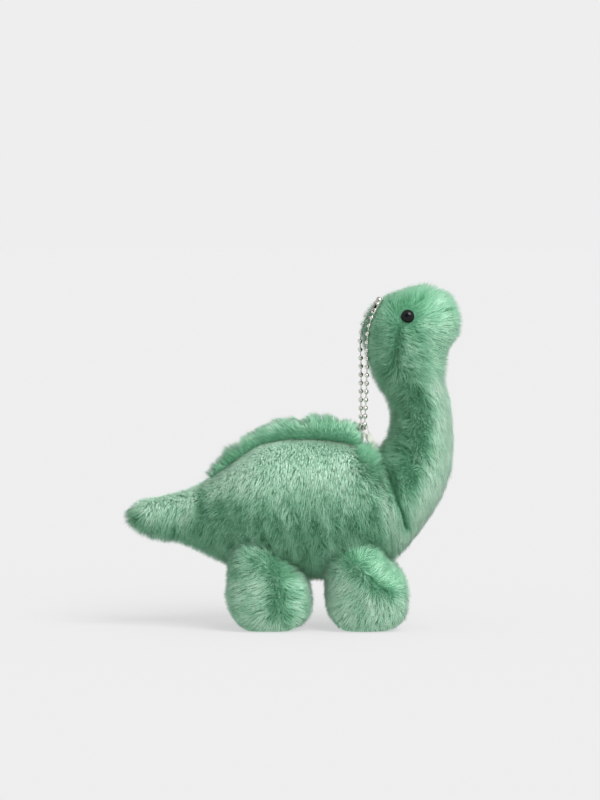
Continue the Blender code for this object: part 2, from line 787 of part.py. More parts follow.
class Run:
    """A run of chain: a measured path with beads a constant pitch apart."""

    def __init__(self, points):
        self.path = smooth_run(points)
        self.lengths = [0.0]
        for a, b in zip(self.path, self.path[1:]):
            self.lengths.append(self.lengths[-1] + (b - a).length)
        self.beads = round(self.lengths[-1] / BEAD_PITCH)
        self.pitch = self.lengths[-1] / self.beads

    def at(self, length):
        length = min(max(length, 0.0), self.lengths[-1])
        for k in range(len(self.path) - 1):
            if length <= self.lengths[k + 1]:
                step = self.lengths[k + 1] - self.lengths[k]
                return self.path[k].lerp(self.path[k + 1], (length - self.lengths[k]) / step)
        return self.path[-1]

    def bead(self, number):
        return self.at(number * self.pitch)


def bead_rings(run, first, last, rod_after):
    """Ring centres and radii along beads first to last, and along the free rod after the last."""
    found = []
    neck = math.asin(ROD_RADIUS / BEAD_RADIUS)
    for number in range(first, last + 1):
        middle = number * run.pitch
        for k in range(BEAD_RINGS):
            turn = neck + (math.pi - 2.0 * neck) * k / (BEAD_RINGS - 1)
            place = middle - BEAD_RADIUS * math.cos(turn)
            found.append((place, BEAD_RADIUS * math.sin(turn)))
    if rod_after:
        free = (last + 1) * run.pitch - BEAD_RADIUS - JOINT_CLEARANCE
        found.append((free, ROD_RADIUS))
    return [(run.at(place), radius) for place, radius in found]


def build_string(name, rings, pivot):
    """Beads and their rods as one swept solid, its thickness following the rings."""
    curve = bpy.data.curves.new(name, "CURVE")
    curve.dimensions = "3D"
    curve.bevel_depth = BEAD_RADIUS * MM
    curve.bevel_resolution = 2
    curve.use_fill_caps = True
    spline = curve.splines.new("POLY")
    spline.points.add(len(rings) - 1)
    for point, (place, radius) in zip(spline.points, rings):
        point.co = (*(place * MM), 1.0)
        point.radius = radius / BEAD_RADIUS
    add_object(name, curve, "steel", pivot)


def build_chain():
    near = Run(NEAR_RUN)
    far = Run(FAR_RUN)
    first_middle = LOWER_BEADS + 1
    first_upper = first_middle + MIDDLE_BEADS
    first_end = far.beads - END_BEADS + 1
    near_lower = bead_rings(near, 1, LOWER_BEADS, True)
    far_lower = bead_rings(far, 1, LOWER_BEADS, True)
    hung = loop_bead(near, far)
    string = far_lower[::-1] + hung + near_lower
    build_string("chain_lower", string, near.bead(0))
    fold_low = far.at((LOWER_BEADS + 0.5) * far.pitch)
    fold_high = far.at((first_upper - 0.5) * far.pitch)
    unhook = far.at((first_end - 0.5) * far.pitch)
    middle_near = bead_rings(near, first_middle, first_upper - 1, True)
    middle_far = bead_rings(far, first_middle, first_upper - 1, True)
    build_string("chain_middle_near", middle_near, fold_low)
    build_string("chain_middle_far", middle_far, fold_low)
    upper_near = bead_rings(near, first_upper, near.beads, False)
    upper_far = bead_rings(far, first_upper, first_end - 1, True)
    build_string("chain_upper_near", upper_near, fold_high)
    build_string("chain_upper_far", upper_far, fold_high)
    end = bead_rings(far, first_end, far.beads, False)
    build_string("chain_end", end, unhook)


def loop_bead(near, far):
    """The rings of the bead that hangs in the loop, from the far run's side to the near run's."""
    neck = math.asin(ROD_RADIUS / BEAD_RADIUS)
    found = []
    for k in range(BEAD_RINGS):
        turn = neck + (math.pi - 2.0 * neck) * k / (BEAD_RINGS - 1)
        place = -BEAD_RADIUS * math.cos(turn)
        run = near if place > 0 else far
        found.append((run.at(abs(place)), BEAD_RADIUS * math.sin(turn)))
    return found


def build_clasp():
    foot = Vector(CLASP_FOOT)
    mouth = Vector(CLASP_MOUTH)
    direction = (mouth - foot).normalized()
    length = (mouth - foot).length
    profile = [
        (CLASP_INNER, CLASP_END_WALL),
        (CLASP_INNER, length),
        (CLASP_OUTER, length),
        (CLASP_OUTER, CLASP_BEVEL),
        (CLASP_OUTER - CLASP_BEVEL, 0.0),
        (CLASP_END_HOLE, 0.0),
        (CLASP_END_HOLE, CLASP_END_WALL),
        (CLASP_INNER, CLASP_END_WALL),
    ]
    obj = turned("clasp", profile, "steel", foot, direction)
    slots = (
        ("clasp_slot", CLASP_SLOT, length * CLASP_SLOT_START),
        ("clasp_mouth_slot", CLASP_MOUTH_SLOT, length - CLASP_MOUTH_DEPTH),
    )
    for name, width, start in slots:
        end = length + CLASP_OUTER
        bm = bmesh.new()
        bmesh.ops.create_cube(bm, size=1.0)
        mesh = mesh_from(bm, name, smooth=False)
        size = Matrix.Diagonal((width * MM, 2.0 * CLASP_OUTER * MM, (end - start) * MM, 1.0))
        middle = Vector((0.0, CLASP_SLOT_FLOOR + CLASP_OUTER, (start + end) / 2.0))
        shift = Matrix.Translation(middle * MM)
        across = Vector((0.0, 1.0, 0.0))
        side = across.cross(direction).normalized()
        turn = Matrix((side, across, direction)).transposed().to_4x4()
        mesh.transform(Matrix.Translation(foot * MM) @ turn @ shift @ size)
        cut(obj, add_cutter(name, mesh))


def main():
    sockets = {}
    for position, hip_x in (("hind", HIND_HIP_X), ("front", FRONT_HIP_X)):
        for side in (1, -1):
            name = "leg_socket_" + position + "_" + side_name(side)
            hip = Vector((hip_x, side * LEG_OUT, HIP_HEIGHT))
            sockets[position, side] = build_socket(name, hip)
            build_leg(position, hip_x, side)
    for side in (1, -1):
        build_body_panel(side, [sockets["hind", side], sockets["front", side]])
        build_crest_layer(side)
        build_neck_panel(side)
        build_eye(side)
        build_washer(side)
    build_belly_gusset(list(sockets.values()))
    build_body_stuffing(list(sockets.values()))
    build_chest_stuffing()
    build_neck_head_stuffing()
    build_mouth()
    build_hang_loop()
    build_chain()
    build_clasp()


main()
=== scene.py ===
"""Looks of the plush keychain: padded skins, a pile of modelled strands, glossy eyes and a ball chain."""

import math

import bmesh
import bpy
import numpy as np
from mathutils import Matrix, Vector
from mathutils.bvhtree import BVHTree
from mathutils.kdtree import KDTree


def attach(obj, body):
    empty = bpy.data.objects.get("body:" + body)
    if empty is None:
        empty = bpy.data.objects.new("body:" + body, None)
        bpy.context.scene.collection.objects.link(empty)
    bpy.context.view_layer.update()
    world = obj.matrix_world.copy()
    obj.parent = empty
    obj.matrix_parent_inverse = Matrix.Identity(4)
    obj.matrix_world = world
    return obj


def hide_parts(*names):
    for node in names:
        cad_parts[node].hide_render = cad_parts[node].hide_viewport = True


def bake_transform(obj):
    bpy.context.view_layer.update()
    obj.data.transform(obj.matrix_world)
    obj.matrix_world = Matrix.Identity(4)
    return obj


MM = 0.001
SEED = 20

# Camera and light
VIEW_HEIGHT = 328.0  # millimetres of the object's plane that fill the picture's height
VIEW_CENTRE = (3.1, 93.5)  # x and z at the picture's middle
CAMERA_DISTANCE = 1600.0
CAMERA_RISE = 2.5  # degrees above the horizon
SENSOR = 36.0
FLOOR_TONE = 0.855  # how bright the lit floor looks
FLOOR_ALBEDO = 0.24  # the rest of its brightness is its own, which keeps the shadows soft
SKY = 0.58
KEY = ((0.55, -0.78, 0.98), 2.7, 38.0)  # direction to the light, strength, angle in degrees
FILL = ((0.45, -1.0, 0.12), 0.50, 60.0)
REFLECTED = ((0.0, 0.14), (0.25, 0.40), (0.5, 0.90), (0.82, 1.0), (0.88, 0.03))  # from behind to the front

# Skins: millimetres
VOXEL, LEG_VOXEL, CREST_VOXEL = 1.8, 1.5, 0.9
STUFFING_SWELL = 1.45
CLOTH_FRAMES = 20
CLOTH_SCALE = 20.0  # the cloth is simulated this much bigger, where its forces are in proportion
CLOTH_MASS = 0.05
CLOTH_PRESSURE = 4.0
CLOTH_STRETCH, CLOTH_SHEAR, CLOTH_BEND = 20.0, 8.0, 0.5
SEAM_HOLD = 1.5  # how far from the middle plane the cloth is still held
PUFF_CAP = 0.9

# Fur
DENSITY = 6.6  # strands per square millimetre
STRAND_RADIUS = 0.073
CLUMP_DENSITY = 1.2
CLUMP_PULL = 0.27
# Painted shade and light along each strand: the root is painted darker as shade low in the pile, the tip
# lighter as light on the tips
ROOT_TONE, MIDDLE_TONE, TIP_TONE = 0.42, 0.88, 1.12
BASE_COLOUR = np.array((0.475, 0.815, 0.59))
DEEPENING = np.array((1.95, 1.0, 1.45))  # how fast each channel falls as the pile gets darker, with its random tone and with its painted shade
NAP = ((0.45, 1.15), (0.97, 0.70))  # how upright a strand stands, and how light it is painted for that: painted light on flat pile, painted shade on upright pile
NAP_CONTRAST = ((0.45, 0.45), (0.97, 1.0))  # and how strongly its root is painted darker and its tip lighter
# painted shade on the tips of the pile along the mouth line
MOUTH_PAINTED_SHADE = 0.7
MOST_STRANDS = 19500  # in one piece
SHORTEST = 1.0
HIT_REACH, HIT_SHARE = 1.15, 0.78  # how far a strand looks for another skin, and how near it may come
BODY_LIFT, CREST_LIFT, LEG_LIFT = 0.75, 0.6, 0.5  # how far the pile stands up, against a comb of length 1
STRAND_SINK = 0.3
LENGTH_VARIATION = 0.11
COMB_WANDER, LIFT_WANDER, STRAND_JITTER = 0.20, 0.10, 0.12
COMB_WAVE, LIFT_WAVE, TONE_WAVE = 7.0, 5.0, 14.0  # millimetres from crest to crest
COMB_SEED, LIFT_SEED, TONE_SEED = 50, 80, 90
CLUMP_TONE, STRAND_TONE, WAVE_TONE, RED_TONE = 0.045, 0.05, 0.05, 0.04
MIDDLE_SHARE, EARLY_RISE, LATE_BEND = 0.48, 0.55, 0.30  # a strand leaves upright, then bends into the comb
MIDDLE_CLEARANCE, TIP_CLEARANCE = 0.4, 0.25  # millimetres above the floor
CREASE_SHORTENING = 0.6
HIT_START = 0.15
CLUMP_SPREAD = (0.3, 1.2)
CLUMP_BEND = 0.12  # how much of a clump's pull its strands' middles feel
RADIUS_SPREAD = (0.75, 1.2)

# Eyes and mouth
EYE_PLACE = np.array((46.8, 14.6, 128.6))
EYE_RADIUS, EYE_HEIGHT, EYE_STAND, EYE_SHANK = 2.75, 2.3, 0.5, 0.9
EYE_STEPS, EYE_SIDES = 14, 40
MOUTH_STEPS, MOUTH_TURNS = 60, 7.0
MOUTH_PLIES, MOUTH_PLY_RADIUS, MOUTH_PLY_OFFSET, MOUTH_PLY_SIDES = 3, 0.17, 0.17, 6

# Ball chain: each run lists the points that its beads follow. The far run lies nearer to the head than
# the frame's chain does, and this shorter line holds one bead fewer.
BEAD_RADIUS, BEAD_HOLE, BEAD_WALL, BEAD_PITCH = 1.0, 0.40, 0.14, 3.4
BEAD_INNER = BEAD_RADIUS - BEAD_WALL
BEAD_STEPS, BEAD_SIDES = 10, 20
ROD_RADIUS, ROD_SIDES = 0.26, 10
ROD_HEAD_RADIUS, ROD_HEAD_DEPTH, ROD_HEAD_LENGTH = 0.40, 0.57, 0.12
LOWER_BEADS, MIDDLE_BEADS, END_BEADS = 5, 5, 5
CURVE_STEPS = 12
NEAR_RUN = (
    (29.3, 0.0, 82.0),
    (29.5, -2.9, 83.6),
    (29.7, -3.4, 87.0),
    (30.3, -4.6, 101.0),
    (30.5, -5.6, 114.0),
    (30.6, -5.9, 119.0),
    (31.0, -6.0, 122.5),
    (32.1, -6.0, 126.4),
    (33.75, -6.0, 130.4),
)
FAR_RUN = (
    (29.3, 0.0, 82.0),
    (28.2, 2.9, 83.2),
    (28.1, 3.1, 86.6),
    (28.1, 3.1, 109.0),
    (27.7, 3.1, 116.0),
    (28.2, 3.1, 121.0),
    (29.8, 3.1, 126.6),
    (33.3, 2.9, 131.6),
    (35.0, 1.6, 134.2),
    (35.6, -1.6, 135.0),
    (35.3, -4.3, 134.1),
    (34.8, -6.0, 132.8),
)

CHAIN_LINE = ((30.4, 110.0), (31.0, 122.5), (33.1, 129.0), (36.2, 135.6))
CHAIN_ON_FUR = ("chain_upper_near", "chain_middle_near", "chain_end", "clasp")

# Clasp
CLASP_FOOT, CLASP_MOUTH = (33.1, -6.0, 129.0), (35.95, -6.0, 135.05)
CLASP_INNER, CLASP_OUTER, CLASP_END_HOLE = 1.18, 1.45, 0.6
CLASP_ROUNDING, CLASP_FOOT_STEPS, CLASP_SIDES = 0.6, 5, 48
CLASP_SLOT_SIDE, CLASP_SLOT, CLASP_SLOT_START = (-0.45, -0.89, 0.0), 1.15, 0.8
CLASP_MOUTH_SLOT, CLASP_MOUTH_DEPTH = 2.3, 2.6
CLASP_LIP, CLASP_CUT_REACH, CLASP_INNER_SLACK = 0.08, CLASP_OUTER + 0.55, 0.03

# Hang loop
LOOP_CENTRE, LOOP_FOOT = (29.3, 82.0), (35.4, 70.8)
LOOP_INNER_RADIUS, LOOP_TAPE, LOOP_WIDTH = 1.4, 0.45, 2.6
LOOP_FOOT_SPREAD, LOOP_OPEN_ANGLE, LOOP_TWIST = 0.12, 38.0, 80.0
LOOP_ARC_STEPS, LOOP_TAIL_STEPS, LOOP_SELVEDGE = 20, 14, 0.15

LEG_NAMES = [(p, s) for p in ("hind", "front") for s in ("left", "right")]

# Creases, as x, z points on each side of the animal: how far each one reaches, its depth, how far the
# pile parts at it, and how much painted shade darkens the pile there. Each one also holds the skin while
# the cloth fills out. The mouth's darkens the tips of the pile with painted shade, by the amount set above.
NECK_SEAM = ((35.0, 71.5), (39.0, 64.5), (41.5, 57.2), (44.5, 49.8), (45.8, 43.5))
CREST_SEAM = ((-36.0, 61.5), (-22.0, 71.4), (-5.0, 78.6), (13.0, 78.8), (29.0, 75.0))
CREASES = {
    "neck_seam": (NECK_SEAM, 1.9, 1.7, 0.8, 0.45),
    # painted shade along the seam under the crest
    "crest_seam": (CREST_SEAM, 2.4, 0.0, 0.0, 0.35),
    "cheek_dart": (((43.6, 123.5), (42.2, 116.0), (41.4, 108.0)), 0.9, 0.8, 0.4, 0.3),
    "brow": (((48.6, 131.6), (53.5, 134.6)), 1.0, 0.6, 0.6, 0.4),
    "mouth": (((62.6, 132.1), (66.4, 131.1)), 0.5, 0.0, 0.0, 0.0),
    # painted shade round the eye
    "eye_socket": (((46.6, 128.4), (47.0, 128.8)), 4.3, 0.0, 0.0, 0.6),
    "tail": (((-47.0, 50.0), (-47.6, 44.0), (-48.4, 39.5)), 1.1, 0.2, 0.15, 0.2),
    "front_instep": (((31.5, 22.5), (34.5, 18.8), (38.5, 16.4)), 1.1, 0.5, 0.3, 0.3),
    "hind_instep": (((-7.3, 28.5), (-6.0, 17.0), (-6.6, 9.0)), 1.2, 0.0, 0.0, 0.0),
}

# Fur fields: x and millimetres of fur along the crest, where each leg's pile parts and how far that
# reaches, and the neck's middle line by height
CREST_PLACES = (-37.0, -31.0, -24.0, -17.0, -11.0, -3.0, 5.0, 12.0, 20.0, 26.0, 30.0)
CREST_LENGTHS = (4.7, 4.3, 5.6, 3.1, 2.6, 3.5, 3.4, 3.7, 2.5, 3.0, 4.0)
LEG_PARTING = {
    "front": (((25.6, 27.0), (30.5, 21.5), (33.8, 17.8), (38.5, 16.0)), 5.5),
    "hind": (((-7.3, 29.0), (-5.0, 17.0), (-5.6, 9.0)), 7.0),
}
NECK_HEIGHTS = (33.0, 50.0, 66.0, 84.0, 100.0, 110.0, 122.0)
NECK_MIDDLES = (34.0, 43.0, 49.5, 53.0, 50.5, 46.5, 44.5)

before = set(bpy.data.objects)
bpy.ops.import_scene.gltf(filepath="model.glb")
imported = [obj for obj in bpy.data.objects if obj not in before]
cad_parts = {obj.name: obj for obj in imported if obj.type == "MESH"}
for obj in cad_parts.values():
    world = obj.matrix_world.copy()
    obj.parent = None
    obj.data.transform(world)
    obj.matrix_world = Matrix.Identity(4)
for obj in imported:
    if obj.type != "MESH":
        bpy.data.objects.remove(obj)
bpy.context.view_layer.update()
rng = np.random.default_rng(SEED)


# ---- Stage ------------------------------------------------------------------------------------


def make_camera():
    data = bpy.data.cameras.new("camera")
    data.sensor_width = SENSOR
    data.lens = SENSOR * CAMERA_DISTANCE / VIEW_HEIGHT
    data.clip_start = 0.05
    data.clip_end = 50.0
    camera = bpy.data.objects.new("camera", data)
    bpy.context.scene.collection.objects.link(camera)
    rise = math.radians(CAMERA_RISE)
    back = Vector((0.0, -math.cos(rise), math.sin(rise)))
    target = Vector((VIEW_CENTRE[0], 0.0, VIEW_CENTRE[1]))
    camera.location = (target + back * CAMERA_DISTANCE) * MM
    camera.rotation_euler = (-back).to_track_quat("-Z", "Y").to_euler()
    bpy.context.scene.camera = camera


def make_sun(name, direction, strength, angle):
    data = bpy.data.lights.new(name, "SUN")
    data.energy = strength
    data.angle = math.radians(angle)
    sun = bpy.data.objects.new(name, data)
    bpy.context.scene.collection.objects.link(sun)
    sun.rotation_euler = Vector(direction).to_track_quat("Z", "Y").to_euler()
    return strength * Vector(direction).normalized().z / math.pi


def make_world(tone):
    """An even sky, the floor's own tone where the camera sees past it, and a studio for reflections."""
    world = bpy.data.worlds.new("studio")
    world.use_nodes = True
    tree = world.node_tree
    tree.nodes.clear()
    output = tree.nodes.new("ShaderNodeOutputWorld")
    path = tree.nodes.new("ShaderNodeLightPath")
    direction = tree.nodes.new("ShaderNodeTexCoord")
    front = tree.nodes.new("ShaderNodeVectorMath")
    front.operation = "DOT_PRODUCT"
    front.inputs[1].default_value = (0.0, -0.5, 0.0)
    middle = tree.nodes.new("ShaderNodeMath")
    middle.inputs[1].default_value = 0.5
    studio = tree.nodes.new("ShaderNodeValToRGB")
    while len(studio.color_ramp.elements) < len(REFLECTED):
        studio.color_ramp.elements.new(0.5)
    for element, (place, level) in zip(studio.color_ramp.elements, REFLECTED):
        element.position = place
        element.color = (level, level, level, 1.0)
    tree.links.new(direction.outputs["Generated"], front.inputs[0])
    tree.links.new(front.outputs["Value"], middle.inputs[0])
    tree.links.new(middle.outputs[0], studio.inputs["Fac"])
    lights = []
    for level in (SKY, tone, None):
        light = tree.nodes.new("ShaderNodeBackground")
        if level is None:
            tree.links.new(studio.outputs["Color"], light.inputs["Color"])
        else:
            light.inputs["Color"].default_value = (level, level, level, 1.0)
        lights.append(light)
    last = lights[0]
    for ray, light in (("Is Glossy Ray", lights[2]), ("Is Camera Ray", lights[1])):
        mix = tree.nodes.new("ShaderNodeMixShader")
        tree.links.new(path.outputs[ray], mix.inputs["Fac"])
        tree.links.new(last.outputs[0], mix.inputs[1])
        tree.links.new(light.outputs[0], mix.inputs[2])
        last = mix
    tree.links.new(last.outputs[0], output.inputs["Surface"])
    bpy.context.scene.world = world


def make_stage():
    """A pale floor to the horizon, and a sky that the camera sees in the floor's own brightness."""
    lit = SKY + make_sun("key", *KEY) + make_sun("fill", *FILL)
    make_world(FLOOR_TONE)
    bm = bmesh.new()
    bmesh.ops.create_grid(bm, x_segments=1, y_segments=1, size=30.0)
    mesh = bpy.data.meshes.new("floor")
    bm.to_mesh(mesh)
    bm.free()
    floor = bpy.data.objects.new("floor", mesh)
    bpy.context.scene.collection.objects.link(floor)
    paper = bpy.data.materials.new("floor_paper")
    paper.use_nodes = True
    shader = paper.node_tree.nodes["Principled BSDF"]
    for name, value in (
        ("Base Color", (FLOOR_ALBEDO, FLOOR_ALBEDO, FLOOR_ALBEDO, 1.0)),
        ("Roughness", 1.0),
        ("Specular IOR Level", 0.0),
        ("Emission Color", (1.0, 1.0, 1.0, 1.0)),
        ("Emission Strength", FLOOR_TONE - FLOOR_ALBEDO * lit),
    ):
        shader.inputs[name].default_value = value
    mesh.materials.append(paper)
    bpy.context.scene.view_settings.view_transform = "Standard"


# ---- Materials --------------------------------------------------------------------------------


class Nodes:
    """A material's node tree with short calls."""

    def __init__(self, name):
        self.material = bpy.data.materials.new(name)
        self.material.use_nodes = True
        self.tree = self.material.node_tree
        self.shader = self.tree.nodes["Principled BSDF"]

    def add(self, kind, inputs=None, **settings):
        node = self.tree.nodes.new("ShaderNode" + kind)
        for key, value in settings.items():
            setattr(node, key, value)
        for key, value in (inputs or {}).items():
            if hasattr(value, "links"):
                self.tree.links.new(value, node.inputs[key])
            else:
                node.inputs[key].default_value = value
        return node

    def set(self, **values):
        for key, value in values.items():
            socket = self.shader.inputs[key.replace("_", " ")]
            if hasattr(value, "links"):
                self.tree.links.new(value, socket)
            else:
                socket.default_value = value

    def place(self):
        return self.add("TexCoord").outputs["Object"]

    def noise(self, scale, detail=3.0):
        inputs = {"Scale": scale, "Detail": detail, "Vector": self.place()}
        return self.add("TexNoise", inputs).outputs["Fac"]

    def ramp(self, factor, stops):
        node = self.add("ValToRGB", {"Fac": factor})
        while len(node.color_ramp.elements) < len(stops):
            node.color_ramp.elements.new(0.5)
        for element, (place, colour) in zip(node.color_ramp.elements, stops):
            element.position = place
            element.color = (*colour, 1.0)
        return node.outputs["Color"]

    def multiply(self, first, second):
        node = self.add("Mix", data_type="RGBA", blend_type="MULTIPLY")
        node.inputs[0].default_value = 1.0
        self.tree.links.new(first, node.inputs[6])
        self.tree.links.new(second, node.inputs[7])
        return node.outputs[2]

    def bump(self, height, strength, distance):
        inputs = {"Height": height, "Strength": strength, "Distance": distance}
        self.set(Normal=self.add("Bump", inputs).outputs["Normal"])


def fur_material():
    n = Nodes("fur_pile")
    # The tint attribute holds each strand's colour with its painted shade and painted light from grow
    tint = n.add("Attribute", attribute_name="tint").outputs["Color"]
    patches = n.ramp(n.noise(90.0), [(0.35, (0.9, 0.93, 0.9)), (0.65, (1.05, 1.03, 1.04))])
    n.set(Base_Color=n.multiply(tint, patches), Roughness=0.75, Specular_IOR_Level=0.16)
    n.set(Sheen_Weight=0.35, Sheen_Roughness=0.45, Sheen_Tint=(0.86, 1.0, 0.91, 1.0))
    return n.material


def skin_material():
    # The backing is painted a shadowy green so that gaps in the pile show as painted shade
    n = Nodes("fur_backing")
    painted_depth_shade = n.ramp(n.noise(900.0), [(0.3, (0.08, 0.24, 0.14)), (0.7, (0.15, 0.37, 0.235))])
    n.set(Base_Color=painted_depth_shade, Roughness=0.95)
    n.bump(n.noise(2600.0), 0.6, 0.0004)
    return n.material


def eye_material():
    """Polished black acrylic with the faint haze and hairlines that handling leaves."""
    n = Nodes("eye_gloss")
    depth = n.ramp(n.noise(500.0), [(0.3, (0.002, 0.002, 0.003)), (0.7, (0.007, 0.007, 0.008))])
    haze = n.add("MapRange", {"Value": n.noise(1400.0, 6.0), "To Min": 0.05, "To Max": 0.17})
    n.set(Base_Color=depth, Roughness=haze.outputs["Result"], IOR=1.3)
    n.bump(n.noise(700.0, 1.0), 0.05, 0.00005)
    return n.material


def metal_material():
    """Bright nickel plate, a little worn and dulled in patches."""
    n = Nodes("nickel_plate")
    wear = n.noise(650.0, 5.0)
    plate = n.ramp(wear, [(0.28, (0.56, 0.53, 0.47)), (0.5, (0.80, 0.78, 0.73)), (0.75, (0.86, 0.85, 0.81))])
    dull = n.add("MapRange", {"Value": wear, "To Min": 0.26, "To Max": 0.08})
    n.set(Base_Color=plate, Roughness=dull.outputs["Result"], Metallic=1.0)
    n.bump(n.noise(2500.0, 2.0), 0.12, 0.00005)
    return n.material


def tape_material():
    """Pale satin ribbon, woven in fine ribs across its width."""
    n = Nodes("satin_tape")
    ribs = n.add("TexWave", {"Scale": 900.0, "Distortion": 1.2, "Detail": 2.0, "Vector": n.place()})
    ribs.bands_direction = "DIAGONAL"
    weave = ribs.outputs["Fac"]
    base = n.ramp(weave, [(0.2, (0.80, 0.80, 0.73)), (0.8, (0.94, 0.93, 0.87))])
    stain = n.ramp(n.noise(300.0), [(0.3, (0.93, 0.95, 0.90)), (0.7, (1.0, 1.0, 1.0))])
    n.set(Base_Color=n.multiply(base, stain), Roughness=0.42)
    n.set(Sheen_Weight=0.4, Sheen_Tint=(1.0, 1.0, 0.96, 1.0))
    n.bump(weave, 0.4, 0.00006)
    return n.material


def thread_material():
    """Dark green mercerised cotton, its plies painted lighter where they stand out, as a painted highlight.
    """
    n = Nodes("cotton_thread")
    fibre = n.noise(5200.0, 4.0)
    green = n.ramp(fibre, [(0.3, (0.012, 0.04, 0.024)), (0.7, (0.05, 0.13, 0.085))])
    n.set(Base_Color=green, Roughness=0.7, Sheen_Weight=0.3)
    n.bump(fibre, 0.5, 0.00004)
    return n.material


def oxide_material():
    """The unpolished inside of the clasp."""
    n = Nodes("clasp_inside")
    grain = n.noise(900.0, 4.0)
    oxide = n.ramp(grain, [(0.3, (0.05, 0.045, 0.04)), (0.7, (0.14, 0.125, 0.105))])
    n.set(Base_Color=oxide, Roughness=0.5, Metallic=0.7)
    return n.material


def washer_material():
    """Moulded natural-white nylon with flow marks."""
    n = Nodes("nylon_washer")
    flow = n.noise(420.0, 4.0)
    nylon = n.ramp(flow, [(0.3, (0.72, 0.71, 0.66)), (0.7, (0.84, 0.83, 0.79))])
    n.set(Base_Color=nylon, Roughness=0.5)
    n.bump(n.noise(1800.0), 0.15, 0.00005)
    return n.material


# ---- Meshes -----------------------------------------------------------------------------------


def add_object(name, mesh, materials):
    obj = bpy.data.objects.new(name, mesh)
    bpy.context.scene.collection.objects.link(obj)
    for material in materials:
        mesh.materials.append(material)
    return obj


def positions(mesh):
    found = np.empty(len(mesh.vertices) * 3)
    mesh.vertices.foreach_get("co", found)
    return found.reshape(-1, 3)


def vertex_normals(mesh):
    found = np.empty(len(mesh.vertices) * 3)
    mesh.vertex_normals.foreach_get("vector", found)
    return found.reshape(-1, 3)


def apply_modifiers(obj):
    graph = bpy.context.evaluated_depsgraph_get()
    mesh = bpy.data.meshes.new_from_object(obj.evaluated_get(graph), depsgraph=graph)
    old = obj.data
    obj.modifiers.clear()
    obj.data = mesh
    bpy.data.meshes.remove(old)


def subdivide(obj, levels):
    finer = obj.modifiers.new("finer", "SUBSURF")
    finer.levels = levels
    finer.render_levels = levels
    apply_modifiers(obj)


def keep_largest(mesh):
    """Removes the inner skins that a remesh of nested shells leaves."""
    bm = bmesh.new()
    bm.from_mesh(mesh)
    bm.verts.ensure_lookup_table()
    seen = set()
    groups = []
    for start in bm.verts:
        if start.index in seen:
            continue
        stack = [start]
        seen.add(start.index)
        group = []
        while stack:
            vert = stack.pop()
            group.append(vert)
            for edge in vert.link_edges:
                other = edge.other_vert(vert)
                if other.index not in seen:
                    seen.add(other.index)
                    stack.append(other)
        groups.append(group)
    groups.sort(key=len)
    for group in groups[:-1]:
        bmesh.ops.delete(bm, geom=group, context="VERTS")
    bm.to_mesh(mesh)
    bm.free()


def away_from(points, path):
    """Millimetres from each point to a path in x and z, and the direction away from it."""
    flat = points[:, [0, 2]] / MM
    best = np.full(len(points), 1e9)
    away = np.zeros((len(points), 2))
    for start, end in zip(path, path[1:]):
        a = np.array(start)
        step = np.array(end) - a
        share = np.clip((flat - a) @ step / (step @ step), 0.0, 1.0)
        gap = flat - (a + share[:, None] * step)
        distance = np.linalg.norm(gap, axis=1)
        closer = distance < best
        best[closer] = distance[closer]
        away[closer] = gap[closer] / np.maximum(distance[closer], 1e-6)[:, None]
    return best, away


def crease_pull(points, crease):
    """How strongly each point feels a crease, from 0 to 1, and the direction in x and z away from it."""
    distance, away = away_from(points, crease[0])
    return np.exp(-((distance / crease[1]) ** 2)), away


def puff(obj, pinned):
    """Cloth with pressure inside it, held at its seams, so that each panel fills out."""
    before = positions(obj.data)
    obj.data.vertices.foreach_set("co", (before * CLOTH_SCALE).ravel())
    group = obj.vertex_groups.new(name="seams")
    for index in np.nonzero(pinned > 0.25)[0]:
        group.add([int(index)], float(min(pinned[index], 1.0)), "REPLACE")
    cloth = obj.modifiers.new("cloth", "CLOTH")
    settings = cloth.settings
    settings.quality = 5
    settings.mass = CLOTH_MASS
    settings.use_pressure = True
    settings.uniform_pressure_force = CLOTH_PRESSURE
    settings.effector_weights.gravity = 0.0
    settings.tension_stiffness = CLOTH_STRETCH
    settings.compression_stiffness = CLOTH_STRETCH
    settings.shear_stiffness = CLOTH_SHEAR
    settings.bending_stiffness = CLOTH_BEND
    settings.vertex_group_mass = "seams"
    cloth.collision_settings.use_collision = False
    cloth.point_cache.frame_start = 1
    cloth.point_cache.frame_end = CLOTH_FRAMES
    scene = bpy.context.scene
    for number in range(1, CLOTH_FRAMES + 1):
        scene.frame_set(number)
    apply_modifiers(obj)
    scene.frame_set(1)
    moved = positions(obj.data) / CLOTH_SCALE - before
    length = np.linalg.norm(moved, axis=1)
    scale = np.minimum(1.0, PUFF_CAP * MM / np.maximum(length, 1e-9))
    obj.data.vertices.foreach_set("co", (before + moved * scale[:, None]).ravel())
    obj.vertex_groups.clear()


